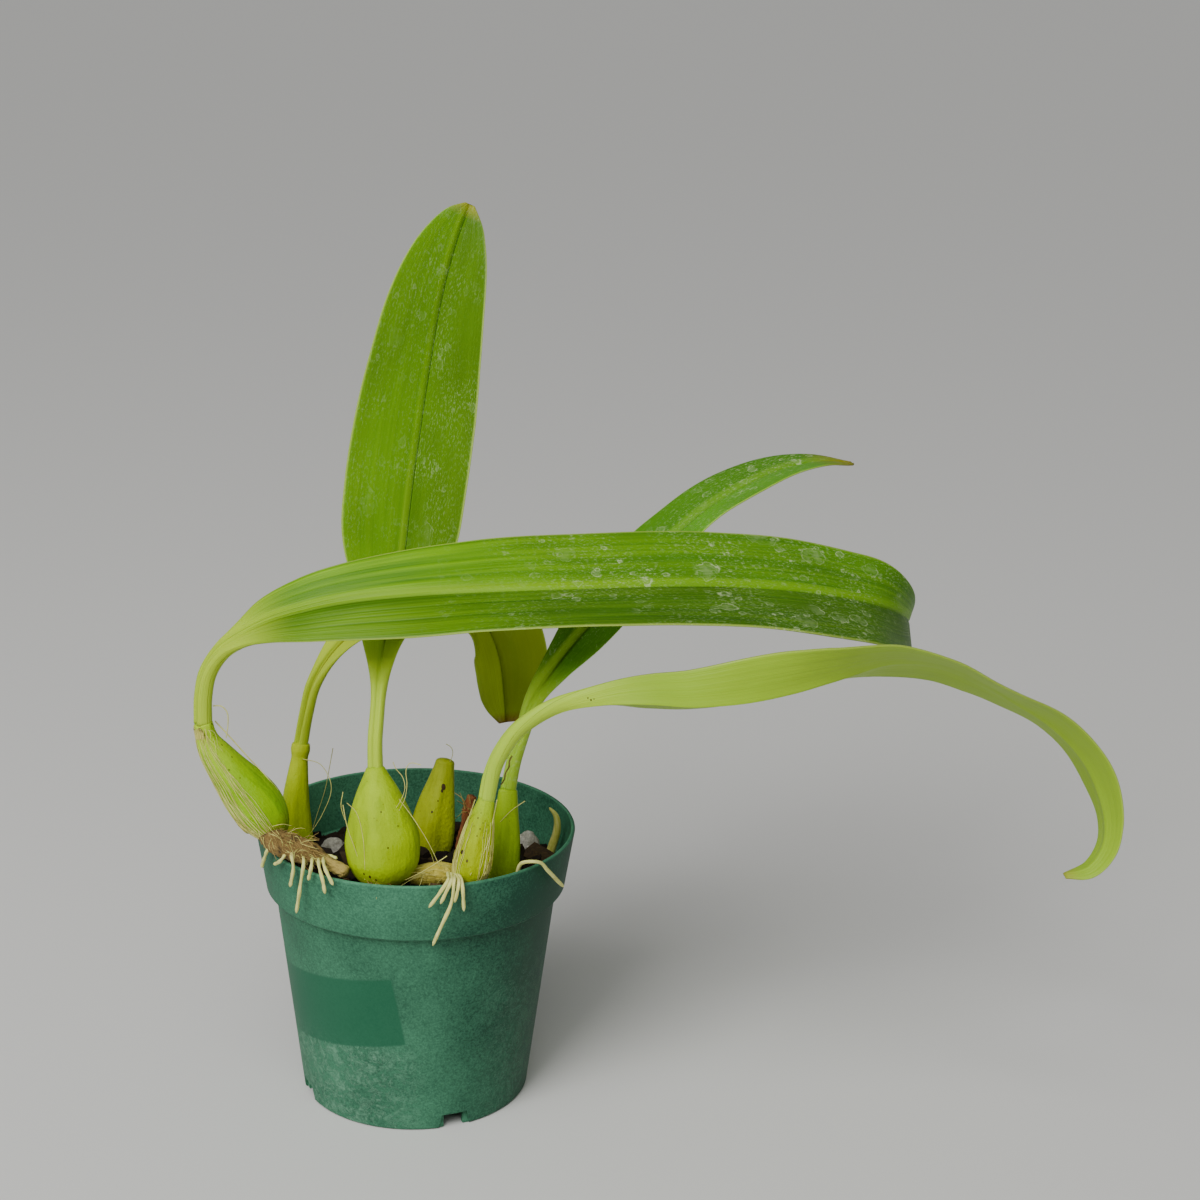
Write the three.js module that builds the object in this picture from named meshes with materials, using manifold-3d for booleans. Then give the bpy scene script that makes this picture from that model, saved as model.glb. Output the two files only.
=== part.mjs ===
// Potted Bulbophyllum lobbii: an orchid out of flower in a round four-inch nursery pot.
// Millimetres, +Z up, +X to the right and +Y away from the viewer. The origin is the middle
// of the pot's underside, on the surface that the pot stands on.

import * as THREE from 'three';
import { mergeVertices } from 'three/addons/utils/BufferGeometryUtils.js';
import Module from 'manifold-3d';

const wasm = await Module();
wasm.setup();

// Driving dimensions of the pot. Its rim is the four-inch (101.6 mm) nursery size.
const RIM_RADIUS = 50.8;
const POT_HEIGHT = 89.2;
const BASE_RADIUS = 36.6;
const WALL = 1.3;
const BAND_BOTTOM = 70.1;
const BAND_BOTTOM_RADIUS = 47.9;
const NECK_RADIUS = 45.1;
const NECK_DROP = 0.9;
const DRAFT = (NECK_RADIUS - BASE_RADIUS) / (BAND_BOTTOM - NECK_DROP);
const LIP_ROUND = 0.5;
const FLOOR_RAISE = 5;
const PAD_RADIUS = 23;
const PAD_SLOPE = 2;
const FOOT = 2.4;
const NOTCH_COUNT = 4;
const FIRST_NOTCH = -1.147;
const NOTCH_WIDTH = 6.4;
const NOTCH_HEIGHT = 4.2;
const ARCH_WIDTH = 12.4;
const ARCH_TOP_WIDTH = 8.4;
const ARCH_HEIGHT = 4.8;
const ARCH_DEPTH = 1.1;
const DRAIN_HOLES = 6;
const DRAIN_RADIUS = 2.6;
const DRAIN_RING = 29.5;
const DRAIN_SIDES = 12;
const POT_SIDES = 48;

// The potting mix, and the gap kept between pieces that touch.
const SOIL_LEVEL = 76;
const SOIL_SLOPE = -0.17;
const SOIL_RELIEF = 0.9;
const SOIL_SIDES = POT_SIDES / 2;
const SOIL_RINGS = 7;
const CHIP_COUNT = 28;
const CHIP_REACH = 39;
const CHIP_LIFT = 0.3;
const GAP = 0.3;

// How finely stems, bulbs, leaves and roots are faceted.
const BULB_SIDES = 14;
const BULB_RINGS = 12;
const RHIZOME_SIDES = 10;
const RHIZOME_STEPS = 9;
const ROOT_SIDES = 6;
const NUDGE = 0.01;
const LEAF_EDGE = 0.8;
const LEAF_SEAT = GAP + 0.02;
const STALK_GROOVE = 0.12;
const LEAF_COLUMNS = [-1, -0.6, -0.2, 0, 0.2, 0.6, 1];

const at = (x, y, z) => new THREE.Vector3(x, y, z);

// Numbers between 0 and 1 from a fixed seed, so that the loose bits always fall alike.
function seeded(seed) {
  let state = seed;
  return () => {
    state = (state * 1664525 + 1013904223) % 4294967296;
    return state / 4294967296;
  };
}

// A smooth curve through rows of [fraction, value, value, ...], read at one fraction.
function keyed(keys, fraction) {
  const last = keys.length - 1;
  const t = Math.min(Math.max(fraction, keys[0][0]), keys[last][0]);
  let i = 0;
  while (i < last - 1 && t >= keys[i + 1][0]) i += 1;
  const rise = (k, column) => (
    (keys[k + 1][column] - keys[k][column]) / (keys[k + 1][0] - keys[k][0])
  );
  const slope = (k, column) => {
    if (k === 0) return rise(0, column);
    if (k === last) return rise(last - 1, column);
    return (rise(k - 1, column) + rise(k, column)) / 2;
  };
  const span = keys[i + 1][0] - keys[i][0];
  const s = (t - keys[i][0]) / span;
  return keys[i].slice(1).map((start, index) => {
    const column = index + 1;
    const end = keys[i + 1][column];
    return (2 * s ** 3 - 3 * s ** 2 + 1) * start
      + (s ** 3 - 2 * s ** 2 + s) * span * slope(i, column)
      + (3 * s ** 2 - 2 * s ** 3) * end
      + (s ** 3 - s ** 2) * span * slope(i + 1, column);
  });
}

// A closed mesh from corners and triangles, turned so that its faces point outward.
function closedGeometry(corners, triangles) {
  const volume = triangles.reduce((sum, [a, b, c]) => (
    sum + corners[a].dot(corners[b].clone().cross(corners[c]))
  ), 0);
  const outward = volume < 0 ? triangles.map(([a, b, c]) => [a, c, b]) : triangles;
  const geometry = new THREE.BufferGeometry().setFromPoints(corners);
  geometry.setIndex(outward.flat());
  geometry.computeVertexNormals();
  return geometry;
}

// A body skinned over rings of equally many corners, with a fan of faces at each end.
// A leaf passes its count of upper columns, so that both of its faces split alike.
function ringBody(rings, upperColumns = Infinity) {
  const count = rings[0].length;
  const middle = (ring) => (
    ring.reduce((sum, corner) => sum.add(corner), at(0, 0, 0)).divideScalar(count)
  );
  const corners = [...rings.flat(), middle(rings[0]), middle(rings.at(-1))];
  const startMiddle = rings.length * count;
  const endMiddle = startMiddle + 1;
  const triangles = [];
  for (let k = 0; k < count; k += 1) {
    const next = (k + 1) % count;
    const lastRing = (rings.length - 1) * count;
    for (let r = 0; r < rings.length - 1; r += 1) {
      const a = r * count + k;
      const b = r * count + next;
      const c = a + count;
      const d = b + count;
      if (k < upperColumns) triangles.push([a, b, d], [a, d, c]);
      else triangles.push([a, b, c], [b, d, c]);
    }
    triangles.push([startMiddle, next, k], [endMiddle, lastRing + k, lastRing + next]);
  }
  return closedGeometry(corners, triangles);
}

const circle = (radius, z, sides) => Array.from({ length: sides }, (_, k) => {
  const angle = (k / sides) * 2 * Math.PI;
  return at(radius * Math.cos(angle), radius * Math.sin(angle), z);
});

const revolve = (profile, sides) => ringBody(profile.map(([r, z]) => circle(r, z, sides)));

// A round body along a path, with its radius given at fractions of the length.
// grow makes it larger all round, which cuts its socket in what it stands in.
function stem(path, radii, sides, steps, grow = 0) {
  const curve = new THREE.CatmullRomCurve3(path.map((point) => at(...point)));
  const frames = curve.computeFrenetFrames(steps, false);
  const perFraction = 1 / (2 * NUDGE * curve.getLength());
  const rings = Array.from({ length: steps + 1 }, (_, i) => {
    const fraction = i / steps;
    const flare = (keyed(radii, fraction + NUDGE)[0] - keyed(radii, fraction - NUDGE)[0]) * perFraction;
    const radius = keyed(radii, fraction)[0] + grow * Math.hypot(1, flare);
    const reach = (i === steps ? grow : 0) - (i === 0 ? grow : 0);
    const centre = curve.getPointAt(fraction).addScaledVector(frames.tangents[i], reach);
    return Array.from({ length: sides }, (__, k) => {
      const angle = (k / sides) * 2 * Math.PI;
      return centre.clone()
        .addScaledVector(frames.normals[i], radius * Math.cos(angle))
        .addScaledVector(frames.binormals[i], radius * Math.sin(angle));
    });
  });
  return ringBody(rings);
}

// A geometry as a solid that can be cut and joined, and a solid back as a geometry.
function solid(geometry) {
  const bare = geometry.clone();
  bare.deleteAttribute('normal');
  bare.deleteAttribute('uv');
  const merged = mergeVertices(bare);
  return new wasm.Manifold(new wasm.Mesh({
    numProp: 3,
    vertProperties: Float32Array.from(merged.attributes.position.array),
    triVerts: Uint32Array.from(merged.index.array),
  }));
}

function geometryOf(body) {
  const mesh = body.getMesh();
  const geometry = new THREE.BufferGeometry();
  geometry.setAttribute('position', new THREE.BufferAttribute(mesh.vertProperties, 3));
  geometry.setIndex(new THREE.BufferAttribute(mesh.triVerts, 1));
  geometry.computeVertexNormals();
  return geometry;
}

// The largest piece of a cut body: crumbs that a cut leaves loose are dropped.
const largest = (body) => body.decompose().reduce((best, piece) => (
  piece.volume() > best.volume() ? piece : best
));

// The inside of the pot from the low middle of its floor up to the rim.
const POT_INSIDE = [
  [PAD_RADIUS - WALL, WALL],
  [PAD_RADIUS + PAD_SLOPE - WALL, FLOOR_RAISE + WALL],
  [BASE_RADIUS - WALL + FLOOR_RAISE * DRAFT, FLOOR_RAISE + WALL],
  [NECK_RADIUS - WALL, BAND_BOTTOM + WALL - NECK_DROP],
  [BAND_BOTTOM_RADIUS - WALL, BAND_BOTTOM + WALL],
  [RIM_RADIUS - WALL, POT_HEIGHT],
];

// The pot: a tapered wall with a wider rim band, and a foot ring with drainage notches.
function potGeometry() {
  const body = solid(revolve([
    [PAD_RADIUS, 0],
    [PAD_RADIUS + PAD_SLOPE, FLOOR_RAISE],
    [BASE_RADIUS - FOOT + FLOOR_RAISE * DRAFT, FLOOR_RAISE],
    [BASE_RADIUS - FOOT, 0],
    [BASE_RADIUS, 0],
    [NECK_RADIUS, BAND_BOTTOM - NECK_DROP],
    [BAND_BOTTOM_RADIUS, BAND_BOTTOM],
    [RIM_RADIUS, POT_HEIGHT - LIP_ROUND],
    [RIM_RADIUS - LIP_ROUND, POT_HEIGHT],
    ...[...POT_INSIDE].reverse(),
  ], POT_SIDES));
  let cut = body;
  for (let i = 0; i < NOTCH_COUNT; i += 1) {
    const angle = FIRST_NOTCH + (i / NOTCH_COUNT) * 2 * Math.PI;
    const notch = new THREE.BoxGeometry(4 * FOOT, NOTCH_WIDTH, 2 * NOTCH_HEIGHT);
    notch.translate(BASE_RADIUS, 0, 0);
    notch.rotateZ(angle);
    const outline = [[-1, -1], [1, -1], [ARCH_TOP_WIDTH / ARCH_WIDTH, 1],
      [-ARCH_TOP_WIDTH / ARCH_WIDTH, 1]];
    const arch = ringBody([-ARCH_DEPTH, 2 * FOOT].map((reach) => outline.map(([across, up]) => at(
      BASE_RADIUS + reach,
      across * ARCH_WIDTH / 2,
      up * ARCH_HEIGHT,
    ))));
    arch.rotateZ(angle);
    cut = cut.subtract(solid(notch)).subtract(solid(arch));
  }
  for (let i = 0; i < DRAIN_HOLES; i += 1) {
    const angle = ((i + 0.5) / DRAIN_HOLES) * 2 * Math.PI;
    const hole = new THREE.CylinderGeometry(DRAIN_RADIUS, DRAIN_RADIUS, 4 * WALL, DRAIN_SIDES);
    hole.rotateX(Math.PI / 2);
    hole.translate(DRAIN_RING * Math.cos(angle), DRAIN_RING * Math.sin(angle), FLOOR_RAISE + WALL / 2);
    cut = cut.subtract(solid(hole));
  }
  return geometryOf(cut);
}

// Pseudobulbs: the axis from base to top, and the radius along it. Each is crowned by one leaf,
// apart from the old one at the rear, which has lost its own.
const BULBS = {
  left_front: {
    path: [[-40.5, -24.5, 93.6], [-45.6, -24, 101.4], [-51.2, -24, 109], [-57, -25, 117.2],
      [-61.2, -26, 124.4], [-62.9, -26, 131]],
    radii: [[0, 3.4], [0.06, 5.4], [0.14, 7], [0.27, 8.1], [0.42, 7.6], [0.58, 6.2],
      [0.78, 4.5], [0.92, 3.1], [1, 2.9]],
  },
  left_rear: {
    path: [[-38.6, 6.4, 72.5], [-39.9, 8, 90], [-38.3, 11, 111.7]],
    radii: [[0, 3.2], [0.12, 4.7], [0.3, 4.9], [0.55, 4.1], [0.8, 3], [0.88, 2.7], [0.94, 3.1],
      [1, 2.8]],
  },
  centre: {
    path: [[-6.4, -36.2, 82.6], [-7.3, -34, 94], [-8.9, -31.4, 108], [-10.2, -29.2, 119.4]],
    radii: [[0, 4], [0.06, 7.4], [0.18, 10.4], [0.3, 11.3], [0.4, 11.4], [0.55, 10], [0.7, 8],
      [0.82, 6], [0.92, 4], [1, 2.5]],
  },
  rear: {
    path: [[4, 9.4, 71], [4.8, 11, 86], [8.2, 14, 106.4]],
    radii: [[0, 4], [0.15, 6.2], [0.35, 7], [0.6, 5.8], [0.8, 3.9], [0.94, 2.6], [1, 1.6]],
  },
  right_front: {
    path: [[18.4, -38.6, 84.4], [20.6, -38, 94], [22.4, -36, 104], [24.2, -34, 111.6]],
    radii: [[0, 2.4], [0.08, 4.4], [0.22, 5.6], [0.45, 5.3], [0.7, 4.3], [0.9, 3], [1, 2.5]],
  },
  right_rear: {
    path: [[27.8, -22, 77], [29.2, -20, 92], [29.8, -16, 108.2]],
    radii: [[0, 3.4], [0.15, 5], [0.4, 4.9], [0.7, 3.8], [0.92, 3.1], [1, 2.8]],
  },
};

const bulbGeometry = (name, grow = 0) => (
  stem(BULBS[name].path, BULBS[name].radii, BULB_SIDES, BULB_RINGS, grow)
);

// Leaves. spine runs from the foot of the stalk to the tip, along the groove of the midrib.
// The other rows are keyed by the fraction of the length: facing is the way that the upper
// side looks, width is half the leaf's width, fold is the angle in degrees by which each half
// rises from flat, and thick is the thickness of the stalk or the midrib.
const LEAVES = {
  left_front: {
    bulb: 'left_front',
    segments: 34,
    spine: [[-62.4, -26, 139], [-60.6, -26, 147], [-55, -26.5, 155], [-43.5, -28, 163],
      [-30, -29, 167.8], [-18, -29, 170.6], [-1, -28, 172.8], [17, -26.5, 174.1], [38, -24, 174.9],
      [57, -20, 174.9], [77, -15.5, 174.8], [97, -11, 173.9], [119, -3, 170.7], [136, 5, 166.4],
      [147, 13, 161.6], [154.5, 22.5, 156.2], [158, 33, 151], [156, 43, 144.5]],
    facing: [[0, -0.8, -0.5, 0.2], [0.08, -0.75, -0.6, 0.4], [0.15, -0.35, -0.8, 0.55],
      [0.22, 0, -0.78, 0.62], [0.3, 0.03, -0.66, 0.75], [0.38, 0, -0.48, 0.87],
      [0.6, 0, -0.38, 0.92], [0.74, 0.2, -0.39, 0.9], [0.83, 0.45, -0.42, 0.75],
      [0.88, 0.78, -0.4, 0.42], [0.94, 0.92, -0.3, 0.1], [1, 0.95, -0.25, -0.2]],
    width: [[0, 2.8], [0.05, 2.7], [0.09, 3], [0.12, 4.8], [0.15, 7.6], [0.19, 10.4],
      [0.24, 12.8], [0.31, 16.1], [0.4, 20.6], [0.5, 22.8], [0.66, 23.8], [0.74, 23.4], [0.82, 20],
      [0.88, 15.5], [0.95, 8.5], [1, 1.8]],
    fold: [[0, 6], [0.09, 12], [0.14, 16], [0.25, 7], [0.4, 10], [0.6, 9], [0.85, 6], [1, 12]],
    thick: [[0, 5.4], [0.1, 5], [0.16, 4], [0.3, 2.8], [0.7, 1.9], [1, 1]],
  },
  right_front: {
    bulb: 'right_front',
    segments: 36,
    spine: [[25.6, -33.2, 119], [28, -33.5, 125.6], [34, -34, 134.6], [45.7, -35, 142.4],
      [58, -35.5, 145.2], [72.5, -36, 145.4], [85, -35, 144.6], [100, -33, 145.5],
      [114.5, -30, 148], [127, -28, 151.6], [145, -25, 156.7], [161, -24, 155.8],
      [174, -23.5, 150.1], [184, -23, 144.3], [196.5, -23, 136.3], [206.5, -23, 126],
      [212.3, -23, 115.4], [215.3, -24, 105.4], [214.6, -26, 97.6], [209.8, -28, 91.2],
      [202, -29, 89]],
    facing: [[0, -0.6, -0.3, 0.6], [0.1, -0.5, 0.1, 0.6], [0.2, 0, 0.8, 0.5], [0.25, 0, 0.95, 0.3],
      [0.32, -0.1, 0.91, 0.4], [0.4, -0.25, 0.75, 0.6], [0.48, -0.33, 0.56, 0.75],
      [0.54, -0.3, 0.53, 0.79], [0.6, 0.12, 0.49, 0.87], [0.66, 0.42, 0.42, 0.8],
      [0.75, 0.53, 0.43, 0.73], [0.8, 0.65, 0.44, 0.63], [0.86, 0.8, 0.46, 0.38],
      [0.92, 0.94, 0.33, -0.04], [1, 0.4, 0.3, -0.85]],
    width: [[0, 2.5], [0.06, 2.6], [0.16, 3.1], [0.2, 4.6], [0.25, 7.4], [0.32, 10.4], [0.4, 13.6],
      [0.48, 16], [0.6, 16.4], [0.7, 14.6], [0.8, 11.6], [0.88, 8.6], [0.94, 5.6], [0.98, 3.2],
      [1, 1.3]],
    fold: [[0, 6], [0.12, 14], [0.2, 26], [0.28, 38], [0.35, 36], [0.42, 25], [0.48, 13],
      [0.54, -1], [0.6, -9], [0.66, -9], [0.75, 2], [0.86, 6], [1, 8]],
    thick: [[0, 4.8], [0.14, 4.6], [0.22, 3.4], [0.35, 2.2], [0.7, 1.6], [1, 1]],
  },
  left_rear: {
    bulb: 'left_rear',
    segments: 26,
    spine: [[-36.6, 12, 121], [-34.5, 15, 130], [-30, 21, 138], [-23, 29, 144], [-12, 39, 148],
      [0, 47, 149.5], [11, 53, 146.5], [19, 57, 138], [23.2, 58, 127], [25, 57, 115],
      [26, 55, 105]],
    facing: [[0, -0.6, -0.6, 0.3], [0.2, -0.4, -0.75, 0.5], [0.45, 0.1, -0.6, 0.75],
      [0.65, 0.4, -0.7, 0.6], [0.8, 0.55, -0.8, 0.25], [1, 0.45, -0.87, 0.1]],
    width: [[0, 2.3], [0.08, 2.3], [0.2, 3.2], [0.3, 5.6], [0.42, 11], [0.6, 16.5], [0.76, 17],
      [0.88, 15.5], [0.96, 10.5], [1, 4]],
    fold: [[0, 6], [0.25, 16], [0.4, 28], [1, 27]],
    thick: [[0, 4.4], [0.15, 4], [0.3, 2.6], [0.7, 1.8], [1, 1]],
  },
  centre: {
    bulb: 'centre',
    segments: 28,
    spine: [[-10.3, -28, 127], [-10, -25.2, 134], [-9.8, -21, 141], [-9.7, -16, 147.3],
      [-9.2, -10.4, 153.5], [-7.6, -5, 160.3], [-5.6, 0, 168.4], [-4.4, 5, 178.6],
      [-3.5, 9, 189.5], [-2.4, 13.2, 201], [-0.3, 19, 218.7], [1.8, 23, 234.4], [4.2, 27, 250.5],
      [7.9, 30, 267], [11.1, 32, 277.4], [13.2, 33, 282.4]],
    facing: [[0, -0.1, -1, 0.1], [0.2, -0.1, -0.95, 0.3], [0.35, -0.08, -0.9, 0.5],
      [0.5, -0.06, -0.95, 0.3], [0.75, -0.02, -0.97, 0.22], [1, 0, -0.98, 0.2]],
    width: [[0, 2.4], [0.06, 2.3], [0.14, 2.7], [0.19, 5], [0.25, 10.5], [0.32, 17],
      [0.4, 21.6], [0.5, 23.2], [0.6, 23.4], [0.7, 22.6], [0.8, 20.3], [0.88, 16.2], [0.94, 11.2],
      [0.98, 6.2], [1, 1.8]],
    fold: [[0, 6], [0.16, 16], [0.25, 34], [0.4, 34], [0.6, 37], [0.8, 40], [1, 26]],
    thick: [[0, 4.6], [0.15, 4.4], [0.25, 3.4], [0.4, 2.5], [0.7, 1.8], [1, 1]],
  },
  right_rear: {
    bulb: 'right_rear',
    segments: 28,
    spine: [[31.4, -13, 116], [34, -10, 125], [37, -6, 134], [43.4, 0, 143], [51.3, 8, 151.2],
      [61.3, 18, 160], [71.2, 28, 169], [80.8, 36.5, 177.2], [91, 44.5, 184.5], [103, 52, 190.5],
      [116, 60, 195], [129, 67, 196.5], [141, 73, 195]],
    facing: [[0, -0.5, -0.6, 0.4], [0.12, -0.3, -0.85, 0.3], [0.22, -0.05, -0.97, 0.15],
      [0.35, -0.15, -0.9, 0.35], [0.5, -0.38, -0.62, 0.68], [0.62, -0.42, -0.38, 0.82],
      [0.75, -0.25, -0.22, 0.95], [1, 0, -0.1, 0.99]],
    width: [[0, 2.4], [0.06, 2.3], [0.16, 3], [0.23, 5.2], [0.32, 9.2], [0.45, 11.2], [0.62, 12.2],
      [0.75, 12.4], [0.86, 9.4], [0.95, 5], [1, 1.4]],
    fold: [[0, 6], [0.18, 16], [0.32, 30], [0.6, 16], [1, 6]],
    thick: [[0, 4.6], [0.14, 4.2], [0.25, 3], [0.6, 2], [1, 1]],
  },
};

// One leaf with its stalk. The stalk's foot is a flat ring seated just above its bulb's top.
// Across, each column lies at u from -1 at one margin, over 0 at the midrib, to 1. Near the
// foot the section is round with a shallow groove, and in the blade it is a thin V.
function leafGeometry({ bulb, segments, spine, facing, width, fold, thick }) {
  const top = at(...BULBS[bulb].path.at(-1));
  const before = at(...BULBS[bulb].path.at(-2));
  const rise = top.clone().sub(before).normalize();
  const foot = top.clone().addScaledVector(rise, LEAF_SEAT);
  const curve = new THREE.CatmullRomCurve3([foot, ...spine.map((point) => at(...point))]);
  const rings = Array.from({ length: segments + 1 }, (_, i) => {
    const f = i / segments;
    const point = curve.getPointAt(f);
    const along = i === 0 ? rise : curve.getTangentAt(f);
    const face = at(...keyed(facing, f));
    face.addScaledVector(along, -face.dot(along)).normalize();
    const side = along.clone().cross(face);
    const half = keyed(width, f)[0];
    const angle = THREE.MathUtils.degToRad(keyed(fold, f)[0]);
    const rib = keyed(thick, f)[0];
    const roundness = THREE.MathUtils.clamp(rib / (1.6 * half), 0, 1);
    const power = 1 + 1.6 * roundness;
    const section = (u, upper) => {
      const bulge = 1 - Math.abs(u) ** power;
      const deep = LEAF_EDGE + (rib - LEAF_EDGE) * bulge;
      const crown = roundness * rib * 0.5 * bulge;
      const groove = u === 0 ? roundness * rib * STALK_GROOVE : 0;
      const height = Math.abs(u) * half * Math.sin(angle) + crown - (upper ? groove : deep);
      return point.clone()
        .addScaledVector(side, u * half * Math.cos(angle))
        .addScaledVector(face, height);
    };
    return [
      ...LEAF_COLUMNS.map((u) => section(u, true)),
      ...[...LEAF_COLUMNS].reverse().map((u) => section(u, false)),
    ];
  });
  return ringBody(rings, LEAF_COLUMNS.length - 1);
}

// Creeping rhizomes with the living root tips that hang from them over the pot's lip.
const ROOT_RADII = [[0, 0.9], [0.85, 0.95], [0.96, 0.8], [1, 0.45]];
const RHIZOMES = {
  left: {
    path: [[-44.6, -26.6, 94.6], [-39.4, -30.6, 93.9], [-32.8, -34.9, 93.6], [-27.4, -36.8, 93],
      [-22.2, -38.2, 92.4], [-16.8, -40.6, 91.6]],
    radii: [[0, 2.6], [0.14, 3.7], [0.4, 4], [0.62, 3.4], [0.7, 2.6], [0.78, 2.9], [0.97, 2.8],
      [1, 2.2]],
    roots: [
      [[-41, -29.5, 93.4], [-42.6, -31.6, 92.4], [-44.6, -28.8, 87.4], [-45.6, -27, 84]],
      [[-37.4, -32.4, 92.6], [-37, -37, 92.4], [-38.8, -35.6, 89.8], [-40.8, -33.6, 88]],
      [[-34.4, -34, 93.4], [-34.4, -39.6, 93.4], [-33.8, -40.6, 90], [-35, -39.8, 83.4]],
      [[-31.6, -36, 93], [-30.4, -42.6, 92.4], [-31.6, -42.4, 84.4], [-33, -41.2, 75.4]],
      [[-28.6, -37, 92.6], [-27.8, -44.4, 92.6], [-28.8, -44.2, 87.6]],
      [[-26.6, -37, 92.4], [-25.4, -45.4, 92.8], [-24.2, -46.8, 89.4], [-23.4, -47.4, 84.8]],
      [[-25.2, -37.2, 92.6], [-23.6, -46.2, 93], [-20.8, -48.6, 88.2]],
      [[-26.6, -35.6, 93.6], [-22.6, -33.4, 94.2], [-19.6, -33.8, 93.6]],
    ],
  },
  right: {
    path: [[0, -32.4, 84.6], [5, -32, 85.4], [10, -33.6, 86.6], [14.6, -36.6, 88]],
    radii: [[0, 2.4], [0.2, 3], [0.6, 3.4], [1, 2.8]],
    roots: [
      [[12.8, -36, 87.4], [13.2, -43.6, 90.8], [13.6, -50.6, 91.4], [11.4, -51.6, 88],
        [8.2, -52.4, 83.4]],
      [[13, -36.4, 87.6], [14.4, -45, 91], [14.6, -51, 91.2], [13, -52, 87.8], [11.6, -52.2, 84.6]],
      [[13.4, -36.8, 87.8], [15.4, -46.2, 91], [15.6, -51, 91.4], [14.8, -52, 84.6],
        [12.2, -52.2, 78.2], [9.4, -52.2, 71]],
      [[13.8, -37, 88], [16.4, -47, 91.2], [17, -50.6, 90.8], [15.8, -51.6, 85]],
      [[14, -37.2, 88], [17.4, -47.4, 91.2], [18, -50.4, 90.4], [18.6, -50.6, 81.8]],
    ],
  },
};

const rhizomeStem = (name, grow = 0) => (
  solid(stem(RHIZOMES[name].path, RHIZOMES[name].radii, RHIZOME_SIDES, RHIZOME_STEPS, grow))
);

const rhizomeBody = (name) => RHIZOMES[name].roots.reduce((joined, root) => (
  joined.add(solid(stem(root, ROOT_RADII, ROOT_SIDES, root.length + 2)))
), rhizomeStem(name));

// Slim pieces that stand in the mix: a young shoot, the dry foot of an old flower stem, and
// one stray root that climbs over the lip and hangs outside.
const SLIM = {
  sprout: {
    path: [[40.6, 9.2, 70], [43.4, 8.4, 79], [44.9, 7.4, 85.6], [44.4, 6.6, 90.4], [42.2, 6, 93.4]],
    radii: [[0, 1.6], [0.5, 1.6], [0.8, 1.3], [1, 0.5]],
  },
  flower_stub: {
    path: [[12, -18, 74], [14.6, -18, 90], [17, -18, 99.6], [18.8, -18, 106.4]],
    radii: [[0, 0.9], [0.55, 1], [0.8, 1.9], [1, 1.7]],
  },
  root_over_rim: {
    path: [[32.2, -30.8, 75], [33.4, -32.2, 85], [34.5, -33.4, 90], [36, -34.8, 91.5],
      [38.6, -35.4, 92], [41, -33.6, 90.8], [42.8, -31.2, 87.6], [45.4, -27.2, 83],
      [47.8, -22.6, 78.4]],
    radii: [[0, 1.1], [0.9, 1.1], [1, 0.6]],
  },
};

const slimGeometry = (name, grow = 0) => (
  stem(SLIM[name].path, SLIM[name].radii, ROOT_SIDES, 2 * SLIM[name].path.length, grow)
);

// Lumps of white pumice that lie half sunk in the mix.
const PUMICE = {
  pumice_right: { centre: [35.2, 10, 78], size: [4.4, 4.4, 5.6], seed: 11 },
  pumice_left: { centre: [-27.4, 4.6, 77], size: [4.6, 4.4, 4.6], seed: 5 },
  pumice_back: { centre: [-9, 27, 72.6], size: [5, 4.4, 3.8], seed: 23 },
};

function pumiceGeometry(name, grow = 0) {
  const { centre, size, seed } = PUMICE[name];
  const draw = seeded(seed);
  const ball = new THREE.IcosahedronGeometry(1, 1);
  ball.deleteAttribute('normal');
  ball.deleteAttribute('uv');
  const lump = mergeVertices(ball);
  const spots = lump.attributes.position;
  for (let i = 0; i < spots.count; i += 1) {
    const swell = 0.82 + 0.3 * draw();
    spots.setXYZ(
      i,
      centre[0] + spots.getX(i) * (size[0] * swell + grow),
      centre[1] + spots.getY(i) * (size[1] * swell + grow),
      centre[2] + spots.getZ(i) * (size[2] * swell + grow),
    );
  }
  lump.computeVertexNormals();
  return lump;
}

// A flat, crooked chip of bark.
function chipBody(draw) {
  const length = 3.4 + 3 * draw();
  const breadth = 2.2 + 1.6 * draw();
  const depth = 1.6 + 1.2 * draw();
  const rings = [-1, 0.1, 1].map((end) => {
    const taper = 1 - 0.35 * Math.abs(end) * draw();
    const drift = 0.5 * (draw() - 0.5);
    return [[-1, -1], [1, -1], [1, 1], [-1, 1]].map(([across, up]) => at(
      end * length,
      across * breadth * taper * (0.75 + 0.4 * draw()) + drift,
      up * depth * taper * (0.75 + 0.4 * draw()),
    ));
  });
  const chip = ringBody(rings);
  chip.rotateX((draw() - 0.5) * 1.6);
  chip.rotateY((draw() - 0.5) * 0.9);
  chip.rotateZ(draw() * 2 * Math.PI);
  const angle = draw() * 2 * Math.PI;
  const reach = CHIP_REACH * Math.sqrt(draw());
  const x = reach * Math.cos(angle);
  const y = reach * Math.sin(angle);
  chip.translate(x, y, SOIL_LEVEL + SOIL_SLOPE * y + CHIP_LIFT);
  return solid(chip);
}

// The mix has sunk towards the back of the pot, and its top is uneven.
function soilHeight(x, y) {
  const wave = Math.sin(x * 0.31 + 1.3) * Math.cos(y * 0.27) + 0.6 * Math.sin(x * 0.83 - y * 0.71);
  return SOIL_LEVEL + SOIL_SLOPE * y + SOIL_RELIEF * wave;
}

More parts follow.
